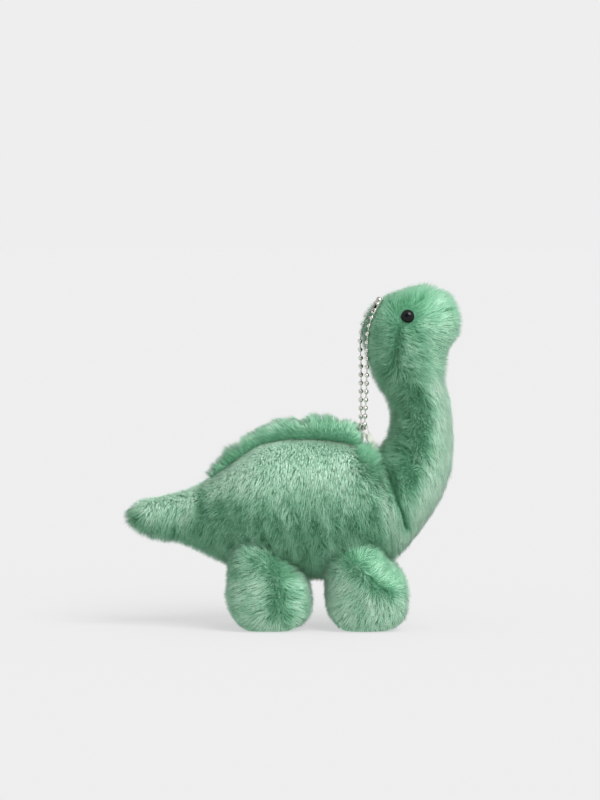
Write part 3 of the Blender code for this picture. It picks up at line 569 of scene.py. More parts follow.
def make_skin(name, shells, cores, creases, voxel=VOXEL):
    """One padded skin from a body's panels and wads: remeshed, filled out by cloth and creased."""
    bm = bmesh.new()
    for node in shells:
        bm.from_mesh(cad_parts[node].data)
    for node in cores:
        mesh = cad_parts[node].data.copy()
        welded = bmesh.new()
        welded.from_mesh(mesh)
        bmesh.ops.remove_doubles(welded, verts=welded.verts, dist=1e-6)
        welded.normal_update()
        for vert in welded.verts:
            vert.co += vert.normal * STUFFING_SWELL * MM
        welded.to_mesh(mesh)
        welded.free()
        bm.from_mesh(mesh)
        bpy.data.meshes.remove(mesh)
    bmesh.ops.remove_doubles(bm, verts=bm.verts, dist=1e-6)
    mesh = bpy.data.meshes.new(name)
    bm.to_mesh(mesh)
    bm.free()
    skin = add_object(name, mesh, [SKIN])
    remesh = skin.modifiers.new("remesh", "REMESH")
    remesh.mode = "VOXEL"
    remesh.voxel_size = voxel * MM
    apply_modifiers(skin)
    keep_largest(skin.data)
    smooth = skin.modifiers.new("smooth", "SMOOTH")
    smooth.factor = 0.5
    smooth.iterations = 4
    apply_modifiers(skin)
    points = positions(skin.data)
    pinned = np.zeros(len(points))
    for crease in creases:
        pinned = np.maximum(pinned, crease_pull(points, crease)[0])
    pinned = np.maximum(pinned, np.exp(-((points[:, 1] / (SEAM_HOLD * MM)) ** 2)))
    pinned[points[:, 2] < 2.0 * MM] = 1.0
    puff(skin, pinned)
    subdivide(skin, 1)
    points = positions(skin.data)
    normals = vertex_normals(skin.data)
    for crease in creases:
        pull, _ = crease_pull(points, crease)
        points -= normals * (pull * crease[2] * MM)[:, None]
    points[:, 2] = np.maximum(points[:, 2], 0.0)
    skin.data.vertices.foreach_set("co", points.ravel())
    skin.data.shade_smooth()
    skin.data.materials.clear()
    skin.data.materials.append(SKIN)
    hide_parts(*shells, *cores)
    return skin


# ---- Fur --------------------------------------------------------------------------------------


def unit(vectors):
    return vectors / np.maximum(np.linalg.norm(vectors, axis=1), 1e-12)[:, None]


def scatter(mesh, density):
    """Random points on a mesh with the smooth normals there."""
    mesh.calc_loop_triangles()
    corners = np.empty(len(mesh.loop_triangles) * 3, np.int32)
    mesh.loop_triangles.foreach_get("vertices", corners)
    corners = corners.reshape(-1, 3)
    points = positions(mesh)
    normals = vertex_normals(mesh)
    a, b, c = (points[corners[:, k]] for k in range(3))
    area = np.linalg.norm(np.cross(b - a, c - a), axis=1) / 2.0 / MM**2
    count = int(area.sum() * density)
    chosen = np.searchsorted(np.cumsum(area) / area.sum(), rng.random(count))
    chosen = np.minimum(chosen, len(corners) - 1)
    r1 = np.sqrt(rng.random(count))[:, None]
    r2 = rng.random(count)[:, None]
    weights = (1.0 - r1, r1 * (1.0 - r2), r1 * r2)
    place = sum(w * points[corners[chosen, k]] for k, w in enumerate(weights))
    normal = sum(w * normals[corners[chosen, k]] for k, w in enumerate(weights))
    return place, unit(normal)


def waves(points, scale, seed, count=5):
    """A smooth random value in -1 to 1 at each point, from a few plane waves."""
    source = np.random.default_rng(seed)
    total = np.zeros(len(points))
    for _ in range(count):
        direction = source.normal(size=3)
        direction *= 2.0 * math.pi / (scale * MM) / np.linalg.norm(direction)
        total += np.sin(points @ direction + source.random() * 2.0 * math.pi)
    return total / math.sqrt(count) / 1.4


def nearest_clump(points, centres):
    """Index of each point's nearest clump centre."""
    tree = KDTree(len(centres))
    for k, centre in enumerate(centres):
        tree.insert(centre, k)
    tree.balance()
    return np.array([tree.find(p)[1] for p in points])


STRAND_SIDES = ((0, 3, 4), (0, 4, 1), (1, 4, 5), (1, 5, 2), (2, 5, 3), (2, 3, 0))
STRAND_FACES = np.array((*STRAND_SIDES, (3, 6, 4), (4, 6, 5), (5, 6, 3), (0, 1, 2)))


def strand_mesh(name, rings, radii, normals, colours, contrast):
    """Closed three-sided strands: two rings of three points each and a tip."""
    root, middle, tip = rings
    count = len(root)
    along = unit(np.concatenate([middle - root, tip - middle]))
    first, second = along[:count], along[count:]
    verts = np.empty((count, 7, 3))
    shade = np.empty((count, 7, 3))
    for ring, (centre, direction, radius) in enumerate(((root, first, radii), (middle, second, radii * 0.8))):
        out = unit(normals - direction * (normals * direction).sum(1)[:, None] + 1e-9)
        side = np.cross(direction, out)
        for k, angle in enumerate((60.0, -60.0, 180.0)):
            turn = math.radians(angle)
            spoke = out * math.cos(turn) + side * math.sin(turn)
            verts[:, ring * 3 + k] = centre + spoke * radius[:, None]
            shade[:, ring * 3 + k] = normals * 0.80 + spoke * 0.18 + direction * 0.20
    verts[:, 6] = tip
    shade[:, 6] = normals * 0.8 + second * 0.45
    faces = (np.arange(count)[:, None, None] * 7 + STRAND_FACES[None]).reshape(-1, 3)
    mesh = bpy.data.meshes.new(name)
    mesh.vertices.add(count * 7)
    mesh.vertices.foreach_set("co", verts.ravel())
    mesh.loops.add(len(faces) * 3)
    mesh.loops.foreach_set("vertex_index", faces.astype(np.int32).ravel())
    mesh.polygons.add(len(faces))
    mesh.polygons.foreach_set("loop_start", np.arange(0, len(faces) * 3, 3, dtype=np.int32))
    mesh.update(calc_edges=True)
    mesh.shade_smooth()
    tint = mesh.color_attributes.new("tint", "FLOAT_COLOR", "POINT")
    rgba = np.ones((count, 7, 4), np.float32)
    # painted shade at the root and painted light at the tip, scaled by each strand's contrast
    depth = np.array([ROOT_TONE] * 3 + [MIDDLE_TONE] * 3 + [TIP_TONE])
    depth = 1.0 + (depth - 1.0)[None, :] * contrast[:, None]
    rgba[:, :, :3] = colours[:, None, :] * depth[:, :, None] ** DEEPENING
    tint.data.foreach_set("color", rgba.ravel())
    mesh.normals_split_custom_set_from_vertices(unit(shade.reshape(-1, 3)).tolist())
    return add_object(name, mesh, [FUR])


def limit_by_hits(roots, directions, lengths, obstacles):
    """Shortens strands that would run into another skin or into the metal."""
    free = lengths.copy()
    for tree in obstacles:
        for k in range(len(roots)):
            hit = tree.ray_cast(Vector(roots[k]), Vector(directions[k]), lengths[k] * MM * HIT_REACH)
            if hit[3] is not None:
                free[k] = min(free[k], hit[3] / MM * HIT_SHARE)
    return free


def grow(name, skin, comb, length_of, obstacles, creases, lift=BODY_LIFT):
    """Scatters strands on a skin, combs them by a field, gathers them in clumps and builds the pieces."""
    share = 1.0
    roots, normals = scatter(skin.data, DENSITY * share)
    field = comb(roots / MM, normals)
    parting = np.zeros((len(roots), 3))
    # painted shade along the creases, which also shortens the pile there
    crease_shade = np.zeros(len(roots))
    for crease in creases:
        pull, away = crease_pull(roots, crease)
        parting[:, [0, 2]] += away * (pull * crease[3])[:, None]
        crease_shade = np.maximum(crease_shade, pull * crease[4])
    field = field + parting
    field += COMB_WANDER * np.stack([waves(roots, COMB_WAVE, COMB_SEED + k) for k in range(3)], 1)
    field -= normals * (field * normals).sum(1)[:, None]
    rise = lift + LIFT_WANDER * waves(roots, LIFT_WAVE, LIFT_SEED)
    jitter = rng.normal(size=(len(roots), 3))
    directions = unit(normals * rise[:, None] + field + STRAND_JITTER * jitter)
    lengths = length_of(roots / MM, normals) * (1.0 + LENGTH_VARIATION * rng.normal(size=len(roots)))
    lengths *= 1.0 - CREASE_SHORTENING * crease_shade
    for obstacle_set in ((), obstacles):
        if obstacle_set:
            lengths = limit_by_hits(roots + normals * HIT_START * MM, directions, lengths, obstacle_set)
        keep = lengths > SHORTEST
        roots, normals, directions = roots[keep], normals[keep], directions[keep]
        lengths, crease_shade, field = lengths[keep], crease_shade[keep], field[keep]
    early = unit(directions + normals * EARLY_RISE)
    middle = roots + early * (lengths * MIDDLE_SHARE * MM)[:, None]
    late = unit(directions + field * LATE_BEND)
    tips = middle + late * (lengths * (1.0 - MIDDLE_SHARE) * MM)[:, None]
    centres = roots[rng.permutation(len(roots))[: int(len(roots) / DENSITY / share * CLUMP_DENSITY)]]
    clump = nearest_clump(roots, centres)
    total = np.zeros((len(centres), 3))
    number = np.bincount(clump, minlength=len(centres))
    for axis in range(3):
        total[:, axis] = np.bincount(clump, weights=tips[:, axis], minlength=len(centres))
    gathered = total / np.maximum(number, 1)[:, None]
    pull = CLUMP_PULL * rng.uniform(*CLUMP_SPREAD, len(roots))[:, None]
    tips += (gathered[clump] - tips) * pull
    middle += (gathered[clump] - tips) * pull * CLUMP_BEND
    tips[:, 2] = np.maximum(tips[:, 2], TIP_CLEARANCE * MM)
    middle[:, 2] = np.maximum(middle[:, 2], MIDDLE_CLEARANCE * MM)
    shade_of_clump = rng.normal(size=len(centres))[clump]
    # random tone by clump, strand and waves, times painted shade in the creases, along the mouth and on
    # upright pile, and painted light on flat pile
    tone_and_painted_shading = 1.0 + CLUMP_TONE * shade_of_clump + STRAND_TONE * rng.normal(size=len(roots))
    tone_and_painted_shading += WAVE_TONE * waves(roots, TONE_WAVE, TONE_SEED)
    upright = (directions * normals).sum(1)
    tone_and_painted_shading *= (1.0 - crease_shade) * np.interp(upright, *zip(*NAP))
    # painted shade on the tips along the mouth line
    tone_and_painted_shading *= 1.0 - MOUTH_PAINTED_SHADE * crease_pull(tips, CREASES["mouth"])[0]
    # how strongly each strand's root is painted darker and its tip lighter
    contrast = np.interp(upright, *zip(*NAP_CONTRAST))
    colours = BASE_COLOUR * tone_and_painted_shading[:, None] ** DEEPENING
    colours[:, 0] *= 1.0 + RED_TONE * rng.normal(size=len(roots))
    radii = STRAND_RADIUS * MM * rng.uniform(*RADIUS_SPREAD, len(roots)) / math.sqrt(share)
    bottom = roots - normals * (STRAND_SINK * MM)
    pieces = []
    parts = max(1, math.ceil(len(roots) / MOST_STRANDS))
    order = np.argsort(roots[:, 0], kind="stable")
    for part, chosen in enumerate(np.array_split(order, parts)):
        label = f"{name}_{part + 1}" if parts > 1 else name
        rings = (bottom[chosen], middle[chosen], tips[chosen])
        piece = strand_mesh(label, rings, radii[chosen], normals[chosen], colours[chosen], contrast[chosen])
        pieces.append(piece)
    return pieces


def tree_of(obj):
    bm = bmesh.new()
    bm.from_mesh(obj.data)
    tree = BVHTree.FromBMesh(bm)
    bm.free()
    return tree


def ramp(value, start, end):
    share = np.clip((value - start) / (end - start), 0.0, 1.0)
    return share * share * (3.0 - 2.0 * share)


# The fields below take places in millimetres and normals. A comb is longer where the pile lies flatter.


def comb_body(p, n):
    """Down the flanks, flat under the crest, and upright low on the sides."""
    front = ramp(p[:, 0], 23.0, 28.0)
    top = ramp(n[:, 2], 0.2, 0.8) * (1.0 - front)
    tail = ramp(-p[:, 0], 57.0, 66.0)
    field = np.zeros_like(p)
    field[:, 0] = -0.12 - 0.5 * tail
    field[:, 1] = 1.5 * top * np.sign(p[:, 1])
    field[:, 2] = -1.0 + 0.9 * tail
    high = ramp(p[:, 2] + 0.35 * np.minimum(p[:, 0] + 20.0, 0.0), 42.0, 68.0)
    high = np.maximum(high, ramp(-p[:, 0], 34.0, 44.0) * ramp(p[:, 2], 41.0, 50.0))
    edge = ramp(p[:, 0] - 0.45 * (60.0 - p[:, 2]), 26.0, 34.0)
    shoulder = ramp(p[:, 0], 20.0, 33.0) * ramp(n[:, 2], 0.1, 0.9)
    return field * ((0.26 + 1.15 * np.maximum(high, 0.7 * edge)) * (1.0 - 0.8 * shoulder))[:, None]


def body_length(p, n):
    under = ramp(-n[:, 2], 0.5, 0.95)
    back = ramp(n[:, 2], 0.55, 0.95) * ramp(p[:, 0], -44.0, -34.0)
    front = ramp(p[:, 0], 24.0, 32.0) * ramp(n[:, 2], 0.2, 0.8)
    tip = ramp(-p[:, 0], 57.0, 63.0)
    return 4.9 - 0.7 * under - 1.5 * back * (1.0 - front) + 1.7 * front - 0.1 * tip


def neck_axis(z):
    """x of the neck's middle line at a height."""
    return np.interp(z, NECK_HEIGHTS, NECK_MIDDLES)


def comb_neck(p, n):
    """Parted along the neck, flat and downward on its front, and away from the cheek's dart on the head."""
    head = ramp(p[:, 2], 99.0, 109.0)
    across = np.clip((p[:, 0] - neck_axis(p[:, 2])) / 9.0, -1.0, 1.0)
    low = ramp(-p[:, 2], -60.0, -48.0)
    front = np.maximum(ramp(across, 0.0, 0.9), 0.8 * low)
    neck = np.zeros_like(p)
    neck[:, 0] = np.where(across > 0.0, 0.55, 0.2) * across - 0.15 * front
    neck[:, 2] = -0.15 - 1.35 * front - 0.4 * low
    distance, away = away_from(p * MM, CREASES["cheek_dart"][0])
    snout = ramp(p[:, 0], 50.0, 62.0)
    ray = np.zeros_like(p)
    ray[:, [0, 2]] = away * ((0.55 + 0.75 * snout) * ramp(distance, 0.0, 2.5))[:, None]
    ray[:, 2] -= 0.22 * ramp(-p[:, 2], -128.0, -120.0)
    return neck * (1.0 - head)[:, None] + ray * head[:, None]


def neck_length(p, n):
    snout = ramp(p[:, 0], 55.0, 64.0) * ramp(p[:, 2], 108.0, 116.0)
    head = ramp(p[:, 2], 104.0, 116.0)
    chest = ramp(p[:, 0], 44.0, 54.0) * ramp(-p[:, 2], -72.0, -62.0)
    near = ramp(-p[:, 1], 1.0, 5.0)
    nape = ramp(-p[:, 0], -40.0, -33.0) * ramp(p[:, 2], 112.0, 122.0)
    crown = ramp(-p[:, 0], -51.0, -45.0) * ramp(p[:, 2], 129.0, 135.0)
    forehead = ramp(p[:, 0], 49.0, 54.0) * ramp(p[:, 2], 130.0, 136.0)
    chin = ramp(p[:, 0], 50.0, 58.0) * np.exp(-(((p[:, 2] - 115.0) / 5.0) ** 2))
    ahead = p[:, 0] - neck_axis(p[:, 2])
    throat = ramp(ahead, 2.0, 8.0) * (1.0 - head)
    hollow = ramp(-ahead, 2.0, 8.0) * np.exp(-(((p[:, 2] - 84.0) / 8.0) ** 2))
    length = 4.9 - 0.3 * head + 0.1 * snout - 0.6 * chest + 0.8 * throat - 0.9 * hollow
    length += nape * (0.1 - 0.8 * near) - crown + 0.5 * forehead - 2.3 * chin
    for side in (1, -1):
        gap = np.linalg.norm(p - EYE_PLACE * (1, side, 1), axis=1)
        length *= ramp(gap, 2.8, 3.4) * (0.40 + 0.60 * ramp(gap, 3.4, 7.0))
    beside, _ = away_from(p * MM, CHAIN_LINE)
    return length * (1.0 - 0.65 * ramp(-p[:, 1], 0.0, 3.0) * ramp(-beside, -4.2, -1.4))


def leg_comb(position):
    path, spread = LEG_PARTING[position]

    def comb(p, n):
        distance, away = away_from(p * MM, path)
        ray = np.zeros_like(p)
        ray[:, [0, 2]] = away * (0.78 * ramp(distance, 0.0, spread))[:, None]
        ray[:, 2] -= 0.18
        return ray * (1.0 - 0.45 * ramp(p[:, 2], 19.0, 29.0))[:, None]

    return comb


def leg_length(p, n):
    low = ramp(-p[:, 2], -9.0, -1.0)
    heel = ramp(-p[:, 2], -16.0, -4.0) * ramp(-n[:, 0], 0.2, 0.8)
    toe = ramp(-p[:, 2], -9.0, -2.0) * ramp(n[:, 0], 0.2, 0.8)
    sole = ramp(-n[:, 2], 0.55, 0.8) * (p[:, 2] < 3.0)
    return (4.2 - 1.4 * low - 1.7 * heel - 0.9 * toe) * (1.0 - sole)


def comb_crest(p, n):
    """Back and up, flattening towards the crest's two ends."""
    field = np.zeros_like(p)
    field[:, 0] = -0.60 + 0.75 * ramp(p[:, 0], 0.0, 24.0) + 0.9 * ramp(p[:, 0], 22.0, 28.0)
    field[:, 2] = 0.55
    return field


def crest_length(p, n):
    tufts = 0.7 * waves(p * MM, 6.0, 33) + 0.5 * waves(p * MM, 2.5, 34)
    return np.interp(p[:, 0], CREST_PLACES, CREST_LENGTHS) + tufts


# ---- Small parts ------------------------------------------------------------------------------


def mesh_object(name, bm, material):
    bmesh.ops.recalc_face_normals(bm, faces=bm.faces)
    mesh = bpy.data.meshes.new(name)
    bm.to_mesh(mesh)
    bm.free()
    mesh.shade_smooth()
    return add_object(name, mesh, [material])


def close_tube(bm, rings):
    """Joins rings of points into a tube with closed ends."""
    for low, high in zip(rings, rings[1:]):
        for k in range(len(low)):
            after = (k + 1) % len(low)
            bm.faces.new((low[k], low[after], high[after], high[k]))
    bm.faces.new(rings[0][::-1])
    bm.faces.new(rings[-1])


def frame_along(direction, side=Vector((0.0, 1.0, 0.0))):
    """A matrix whose columns are two directions across and the direction itself."""
    direction = direction.normalized()
    across = side - direction * side.dot(direction)
    if across.length < 0.01:
        across = Vector((1.0, 0.0, 0.0)) - direction * direction.x
    across.normalize()
    return Matrix((across, direction.cross(across), direction)).transposed()


def lathe(bm, profile, place, direction, segments):
    """Turns a profile of radius and height round a direction, closed unless it touches the axis."""
    turn = frame_along(direction)
    rings = []
    for radius, height in profile:
        if radius < 1e-6:
            rings.append([bm.verts.new((place + turn @ Vector((0.0, 0.0, height))) * MM)])
            continue
        ring = []
        for k in range(segments):
            angle = 2.0 * math.pi * k / segments
            point = Vector((radius * math.cos(angle), radius * math.sin(angle), height))
            ring.append(bm.verts.new((place + turn @ point) * MM))
        rings.append(ring)
    closed = len(rings[0]) > 1 and len(rings[-1]) > 1
    pairs = list(zip(rings, rings[1:])) + ([(rings[-1], rings[0])] if closed else [])
    for low, high in pairs:
        for k in range(segments):
            after = (k + 1) % segments
            if len(low) == 1:
                bm.faces.new((low[0], high[after], high[k]))
            elif len(high) == 1:
                bm.faces.new((low[k], low[after], high[0]))
            else:
                bm.faces.new((low[k], low[after], high[after], high[k]))


def smooth_run(points):
    """Points close together on a smooth curve through the given ones."""
    knots = [Vector(p) for p in points]
    knots = [2 * knots[0] - knots[1], *knots, 2 * knots[-1] - knots[-2]]
    found = []
    for a, b, c, d in zip(knots, knots[1:], knots[2:], knots[3:]):
        for k in range(CURVE_STEPS):
            t = k / CURVE_STEPS
            square = (2 * a - 5 * b + 4 * c - d) * t**2
            cube = (3 * b - a - 3 * c + d) * t**3
            found.append(0.5 * (2 * b + (c - a) * t + square + cube))
    found.append(knots[-2])
    return found


class Run:
    """A run of chain: a measured path with beads a constant pitch apart."""

    def __init__(self, points):
        self.path = smooth_run(points)
        self.lengths = [0.0]
        for a, b in zip(self.path, self.path[1:]):
            self.lengths.append(self.lengths[-1] + (b - a).length)
        self.beads = round(self.lengths[-1] / BEAD_PITCH)
        self.pitch = self.lengths[-1] / self.beads

    def at(self, length):
        length = min(max(length, 0.0), self.lengths[-1])
        for k in range(len(self.path) - 1):
            if length <= self.lengths[k + 1]:
                step = self.lengths[k + 1] - self.lengths[k]
                return self.path[k].lerp(self.path[k + 1], (length - self.lengths[k]) / step)
        return self.path[-1]

    def along(self, length):
        return (self.at(length + 0.3) - self.at(length - 0.3)).normalized()


def bead_profile():
    """A hollow pressed bead, with a rolled lip round the hole at each end."""
    outer = []
    inner = []
    first = math.asin(BEAD_HOLE / BEAD_RADIUS)
    for k in range(BEAD_STEPS + 1):
        turn = first + (math.pi - 2.0 * first) * k / BEAD_STEPS
        outer.append((BEAD_RADIUS * math.sin(turn), -BEAD_RADIUS * math.cos(turn)))
        inner.append((BEAD_INNER * math.sin(turn), -BEAD_INNER * math.cos(turn)))
    return outer + inner[::-1]


def add_rod(bm, start, end):
    """A rod with a small upset head inside the bead at each end."""
    direction = (end - start).normalized()
    length = (end - start).length
    low = BEAD_RADIUS - ROD_HEAD_DEPTH
    high = length - low
    profile = [
        (0.0, low - 0.1),
        (ROD_HEAD_RADIUS, low),
        (ROD_HEAD_RADIUS, low + ROD_HEAD_LENGTH),
        (ROD_RADIUS, low + 2.0 * ROD_HEAD_LENGTH),
        (ROD_RADIUS, high - 2.0 * ROD_HEAD_LENGTH),
        (ROD_HEAD_RADIUS, high - ROD_HEAD_LENGTH),
        (ROD_HEAD_RADIUS, high),
        (0.0, high + 0.1),
    ]
    lathe(bm, profile, start, direction, ROD_SIDES)


def chain_piece(name, body, beads, rods):
    bm = bmesh.new()
    for place, direction in beads:
        lathe(bm, bead_profile(), place, direction, BEAD_SIDES)
    for start, end in rods:
        add_rod(bm, start, end)
    piece = mesh_object(f"{name}_beads", bm, METAL)
    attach(piece, body)
    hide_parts(name)


def build_chain():
    """The same beads as the frame's, hollow and with separate rods, in the pieces that swing and fold."""
    near, far = Run(NEAR_RUN), Run(FAR_RUN)

    def stretch(run, first, last, rod_after):
        beads = [(run.at(k * run.pitch), run.along(k * run.pitch)) for k in range(first, last + 1)]
        ends = [run.at(k * run.pitch) for k in range(first, last + (2 if rod_after else 1))]
        return beads, list(zip(ends, ends[1:]))

    middle = LOWER_BEADS + 1
    upper = middle + MIDDLE_BEADS
    end = far.beads - END_BEADS + 1
    hung = (near.at(0.0), (near.at(0.5) - far.at(0.5)).normalized())
    near_low, far_low = (stretch(run, 1, LOWER_BEADS, True) for run in (near, far))
    rods = [(near.at(0.0), near.at(near.pitch)), (far.at(0.0), far.at(far.pitch))]
    beads = [hung, *near_low[0], *far_low[0]]
    chain_piece("chain_lower", "chain_lower", beads, rods + near_low[1] + far_low[1])
    chain_piece("chain_middle_near", "chain_middle", *stretch(near, middle, upper - 1, True))
    chain_piece("chain_middle_far", "chain_middle", *stretch(far, middle, upper - 1, True))
    chain_piece("chain_upper_near", "chain_upper", *stretch(near, upper, near.beads, False))
    chain_piece("chain_upper_far", "chain_upper", *stretch(far, upper, end - 1, True))
    chain_piece("chain_end", "chain_end", *stretch(far, end, far.beads, False))


def build_clasp():
    """A rolled sleeve: a drawn foot with a hole, a slot up its open side and a wide mouth on its far side."""
    foot, mouth = Vector(CLASP_FOOT), Vector(CLASP_MOUTH)
    direction = (mouth - foot).normalized()
    length = (mouth - foot).length
    wall = CLASP_OUTER - CLASP_INNER
    profile = []
    for k in range(CLASP_FOOT_STEPS + 1):
        turn = math.radians(90.0) * k / CLASP_FOOT_STEPS
        inset = CLASP_ROUNDING * (1.0 - math.sin(turn))
        profile.append((CLASP_OUTER - inset, CLASP_ROUNDING * (1.0 - math.cos(turn))))
    lip = length - CLASP_LIP
    profile += [(CLASP_OUTER, lip), (CLASP_OUTER - CLASP_LIP, length), (CLASP_INNER, length)]
    profile += [(CLASP_INNER, CLASP_ROUNDING), (CLASP_END_HOLE, wall), (CLASP_END_HOLE, 0.0)]
    bm = bmesh.new()
    lathe(bm, profile, foot, direction, CLASP_SIDES)
    clasp = mesh_object("clasp_sleeve", bm, METAL)
    slots = (
        (Vector(CLASP_SLOT_SIDE), CLASP_SLOT, CLASP_SLOT_START),
        (Vector((0.0, 1.0, 0.0)), CLASP_MOUTH_SLOT, length - CLASP_MOUTH_DEPTH),
    )
    cutters = []
    for k, (side, width, start) in enumerate(slots):
        turn = frame_along(direction, side).to_4x4()
        size = Matrix.Diagonal((2.0 * CLASP_OUTER, width, length - start + 1.0, 1.0))
        shift = Matrix.Translation(Vector((CLASP_CUT_REACH, 0.0, (length + start + 1.0) / 2.0)))
        bm = bmesh.new()
        bmesh.ops.create_cube(bm, size=1.0)
        scale = Matrix.Scale(MM, 4)
        bmesh.ops.transform(bm, matrix=scale @ Matrix.Translation(foot) @ turn @ shift @ size, verts=bm.verts)
        cutter = mesh_object(f"cutter_{k}", bm, METAL)
        cutters.append(cutter)
        cut = clasp.modifiers.new("cut", "BOOLEAN")
        cut.operation = "DIFFERENCE"
        cut.object = cutter
    apply_modifiers(clasp)
    for cutter in cutters:
        bpy.data.objects.remove(cutter, do_unlink=True)
    clasp.data.materials.append(OXIDE)
    for face in clasp.data.polygons:
        spoke = Vector(face.center) / MM - foot
        height = spoke.dot(direction)
        inside = (spoke - direction * height).length < CLASP_INNER + CLASP_INNER_SLACK
        face.material_index = 1 if inside and height > CLASP_ROUNDING / 2.0 else 0
    clasp.data.set_sharp_from_angle(angle=math.radians(35.0))
    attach(clasp, "clasp")
    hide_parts("clasp")


def build_hang_loop():
    """A satin ribbon through the chain's first bead, its two tails turning together down to the seam."""
    centre = Vector((LOOP_CENTRE[0], 0.0, LOOP_CENTRE[1]))
    foot = Vector((LOOP_FOOT[0], 0.0, LOOP_FOOT[1]))
    down = (foot - centre).normalized()
    across = Vector((-down.z, 0.0, down.x))
    flat = Vector((0.0, 1.0, 0.0))
    opening = math.radians(LOOP_OPEN_ANGLE)
    path = []
    for k in range(LOOP_TAIL_STEPS):
        share = k / LOOP_TAIL_STEPS
        turn = math.radians(LOOP_TWIST) * (1.0 - ramp(share, 0.6, 1.0))
        spread = LOOP_FOOT_SPREAD + (LOOP_INNER_RADIUS * math.sin(opening) - LOOP_FOOT_SPREAD) * share**2
        middle = foot.lerp(centre + down * LOOP_INNER_RADIUS * math.cos(opening), share)
        offset = across * math.cos(turn) - flat * math.sin(turn)
        width = flat * math.cos(turn) + across * math.sin(turn)
        path.append((middle, offset * spread, width))
    rows = [(middle + offset, offset.normalized(), width) for middle, offset, width in path]
    for k in range(LOOP_ARC_STEPS + 1):
        turn = opening + (2.0 * math.pi - 2.0 * opening) * k / LOOP_ARC_STEPS
        out = down * math.cos(turn) + across * math.sin(turn)
        rows.append((centre + out * LOOP_INNER_RADIUS, out, flat))
    rows += [(middle - offset, -offset.normalized(), width) for middle, offset, width in path[::-1]]
    bm = bmesh.new()
    rings = []
    for place, out, width in rows:
        half = width * (LOOP_WIDTH / 2.0)
        edge = width * (LOOP_WIDTH / 2.0 - LOOP_SELVEDGE)
        thick = out * LOOP_TAPE
        corners = (place - half + thick * 0.5, place - edge, place + edge, place + half + thick * 0.5)
        corners += (place + edge + thick, place - edge + thick)
        rings.append([bm.verts.new(corner * MM) for corner in corners])
    close_tube(bm, rings)
    loop = mesh_object("hang_loop_ribbon", bm, TAPE)
    subdivide(loop, 2)
    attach(loop, "hang_loop")
    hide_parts("hang_loop")


def build_eye(side):
    """A turned dome on its collar and shank, looking out along the CAD eye's own axis."""
    name = "eye_left" if side > 0 else "eye_right"
    points = positions(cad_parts[name].data) / MM
    dome = points[np.abs(points[:, 1]) > np.abs(points[:, 1]).max() - EYE_HEIGHT]
    low = points[np.abs(points[:, 1]) < np.abs(points[:, 1]).min() + 0.5]
    out = Vector(dome.mean(0) - low.mean(0)).normalized()
    heights = points @ np.array(out)
    top = Vector(low.mean(0)) + out * float(heights.max() - low.mean(0) @ np.array(out))
    profile = [(0.0, 0.0)]
    for k in range(1, EYE_STEPS + 1):
        turn = math.radians(90.0) * k / EYE_STEPS
        profile.append((EYE_RADIUS * math.sin(turn), -EYE_HEIGHT * (1.0 - math.cos(turn))))
    profile += [(EYE_RADIUS, -EYE_HEIGHT - 0.2), (EYE_RADIUS - 0.25, -EYE_HEIGHT - EYE_STAND)]
    profile += [(EYE_SHANK + 0.2, -EYE_HEIGHT - EYE_STAND), (EYE_SHANK, -EYE_HEIGHT - 0.8)]
    depth = float(heights.max() - heights.min())
    profile += [(EYE_SHANK, -depth + 0.4), (EYE_SHANK - 0.3, -depth), (0.0, -depth)]
    bm = bmesh.new()
    lathe(bm, profile, top, out, EYE_SIDES)
    eye = mesh_object(f"{name}_dome", bm, EYE)
    eye.data.set_sharp_from_angle(angle=math.radians(40.0))
    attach(eye, "neck_head")
    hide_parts(name)


def build_mouth():
    """Three plies of thread twisted round the line of the CAD stitch."""
    points = positions(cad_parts["mouth_stitch"].data) / MM
    across = np.linspace(points[:, 1].min() + 0.05, points[:, 1].max() - 0.05, MOUTH_STEPS)
    near = [points[np.abs(points[:, 1] - y) < 0.9].mean(0) for y in across]
    bm = bmesh.new()
    for ply in range(MOUTH_PLIES):
        rings = []
        for k, centre in enumerate(near):
            turn = 2.0 * math.pi * (ply / MOUTH_PLIES + k / MOUTH_STEPS * MOUTH_TURNS)
            out = np.array([math.cos(turn), 0.0, math.sin(turn)]) * MOUTH_PLY_OFFSET
            place = Vector((centre[0] + out[0], across[k], centre[2] + out[2]))
            thin = min(1.0, 0.25 + 0.25 * min(k, MOUTH_STEPS - 1 - k))
            ring = []
            for j in range(MOUTH_PLY_SIDES):
                angle = 2.0 * math.pi * j / MOUTH_PLY_SIDES
                spoke = Vector((math.cos(angle), 0.0, math.sin(angle))) * MOUTH_PLY_RADIUS * thin
                ring.append(bm.verts.new((place + spoke) * MM))
            rings.append(ring)
        close_tube(bm, rings)
    mouth = mesh_object("mouth_thread", bm, THREAD)
    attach(mouth, "neck_head")
    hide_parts("mouth_stitch")


# ---- Assembly ---------------------------------------------------------------------------------

make_camera()
make_stage()
SKIN = skin_material()
FUR = fur_material()
EYE = eye_material()
METAL = metal_material()
TAPE = tape_material()
THREAD = thread_material()
OXIDE = oxide_material()
WASHER = washer_material()

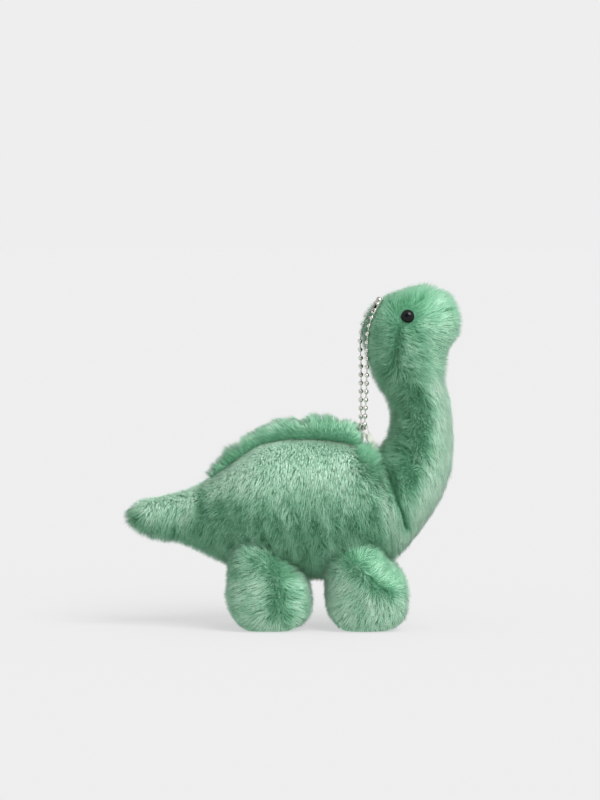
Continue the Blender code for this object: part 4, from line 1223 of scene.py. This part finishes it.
body_creases = [CREASES["neck_seam"], CREASES["tail"]]
neck_creases = [CREASES[name] for name in ("neck_seam", "cheek_dart", "brow", "mouth", "eye_socket")]
body_panels = ["body_panel_left", "body_panel_right", "belly_gusset"]
body_skin = make_skin("torso_skin", body_panels, ["body_stuffing"], body_creases)
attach(body_skin, "torso")
neck_panels = ["neck_panel_left", "neck_panel_right"]
neck_skin = make_skin("neck_skin", neck_panels, ["chest_stuffing", "neck_head_stuffing"], neck_creases)
crest_skin = make_skin("crest_skin", ["crest_layer_left", "crest_layer_right"], [], [], voxel=CREST_VOXEL)
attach(crest_skin, "torso")
leg_skins = {}
for position, side in LEG_NAMES:
    label = f"{position}_{side}"
    leg_skins[label] = make_skin(
        f"leg_skin_{label}",
        [f"leg_outer_panel_{label}", f"leg_inner_panel_{label}", f"sole_{label}"],
        [f"leg_stuffing_{label}"],
        [CREASES[f"{position}_instep"]],
        voxel=LEG_VOXEL,
    )
    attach(leg_skins[label], f"leg_{label}")

trees = {"torso": tree_of(body_skin), "neck": tree_of(neck_skin), "crest": tree_of(crest_skin)}
trees.update({label: tree_of(skin) for label, skin in leg_skins.items()})
chain_trees = [tree_of(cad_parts[name]) for name in CHAIN_ON_FUR]


def others(own):
    return [tree for key, tree in trees.items() if key != own] + chain_trees


torso_fur = grow("torso_fur", body_skin, comb_body, body_length, others("torso"), body_creases)
crest_creases = [CREASES["crest_seam"]]
crest_fur = grow(
    "crest_fur", crest_skin, comb_crest, crest_length, [trees["torso"]], crest_creases, CREST_LIFT
)
for piece in torso_fur + crest_fur:
    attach(piece, "torso")
neck_fur = grow("neck_fur", neck_skin, comb_neck, neck_length, others("neck"), neck_creases)
for piece in [neck_skin, *neck_fur]:
    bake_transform(piece)
for position, side in LEG_NAMES:
    label = f"{position}_{side}"
    skin, comb, creases = leg_skins[label], leg_comb(position), [CREASES[f"{position}_instep"]]
    for piece in grow(f"leg_fur_{label}", skin, comb, leg_length, others(label), creases, LEG_LIFT):
        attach(piece, f"leg_{label}")

build_chain()
build_clasp()
build_hang_loop()
build_mouth()
for side in (1, -1):
    build_eye(side)
for name in ("eye_washer_left", "eye_washer_right"):
    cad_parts[name].material_slots[0].material = WASHER
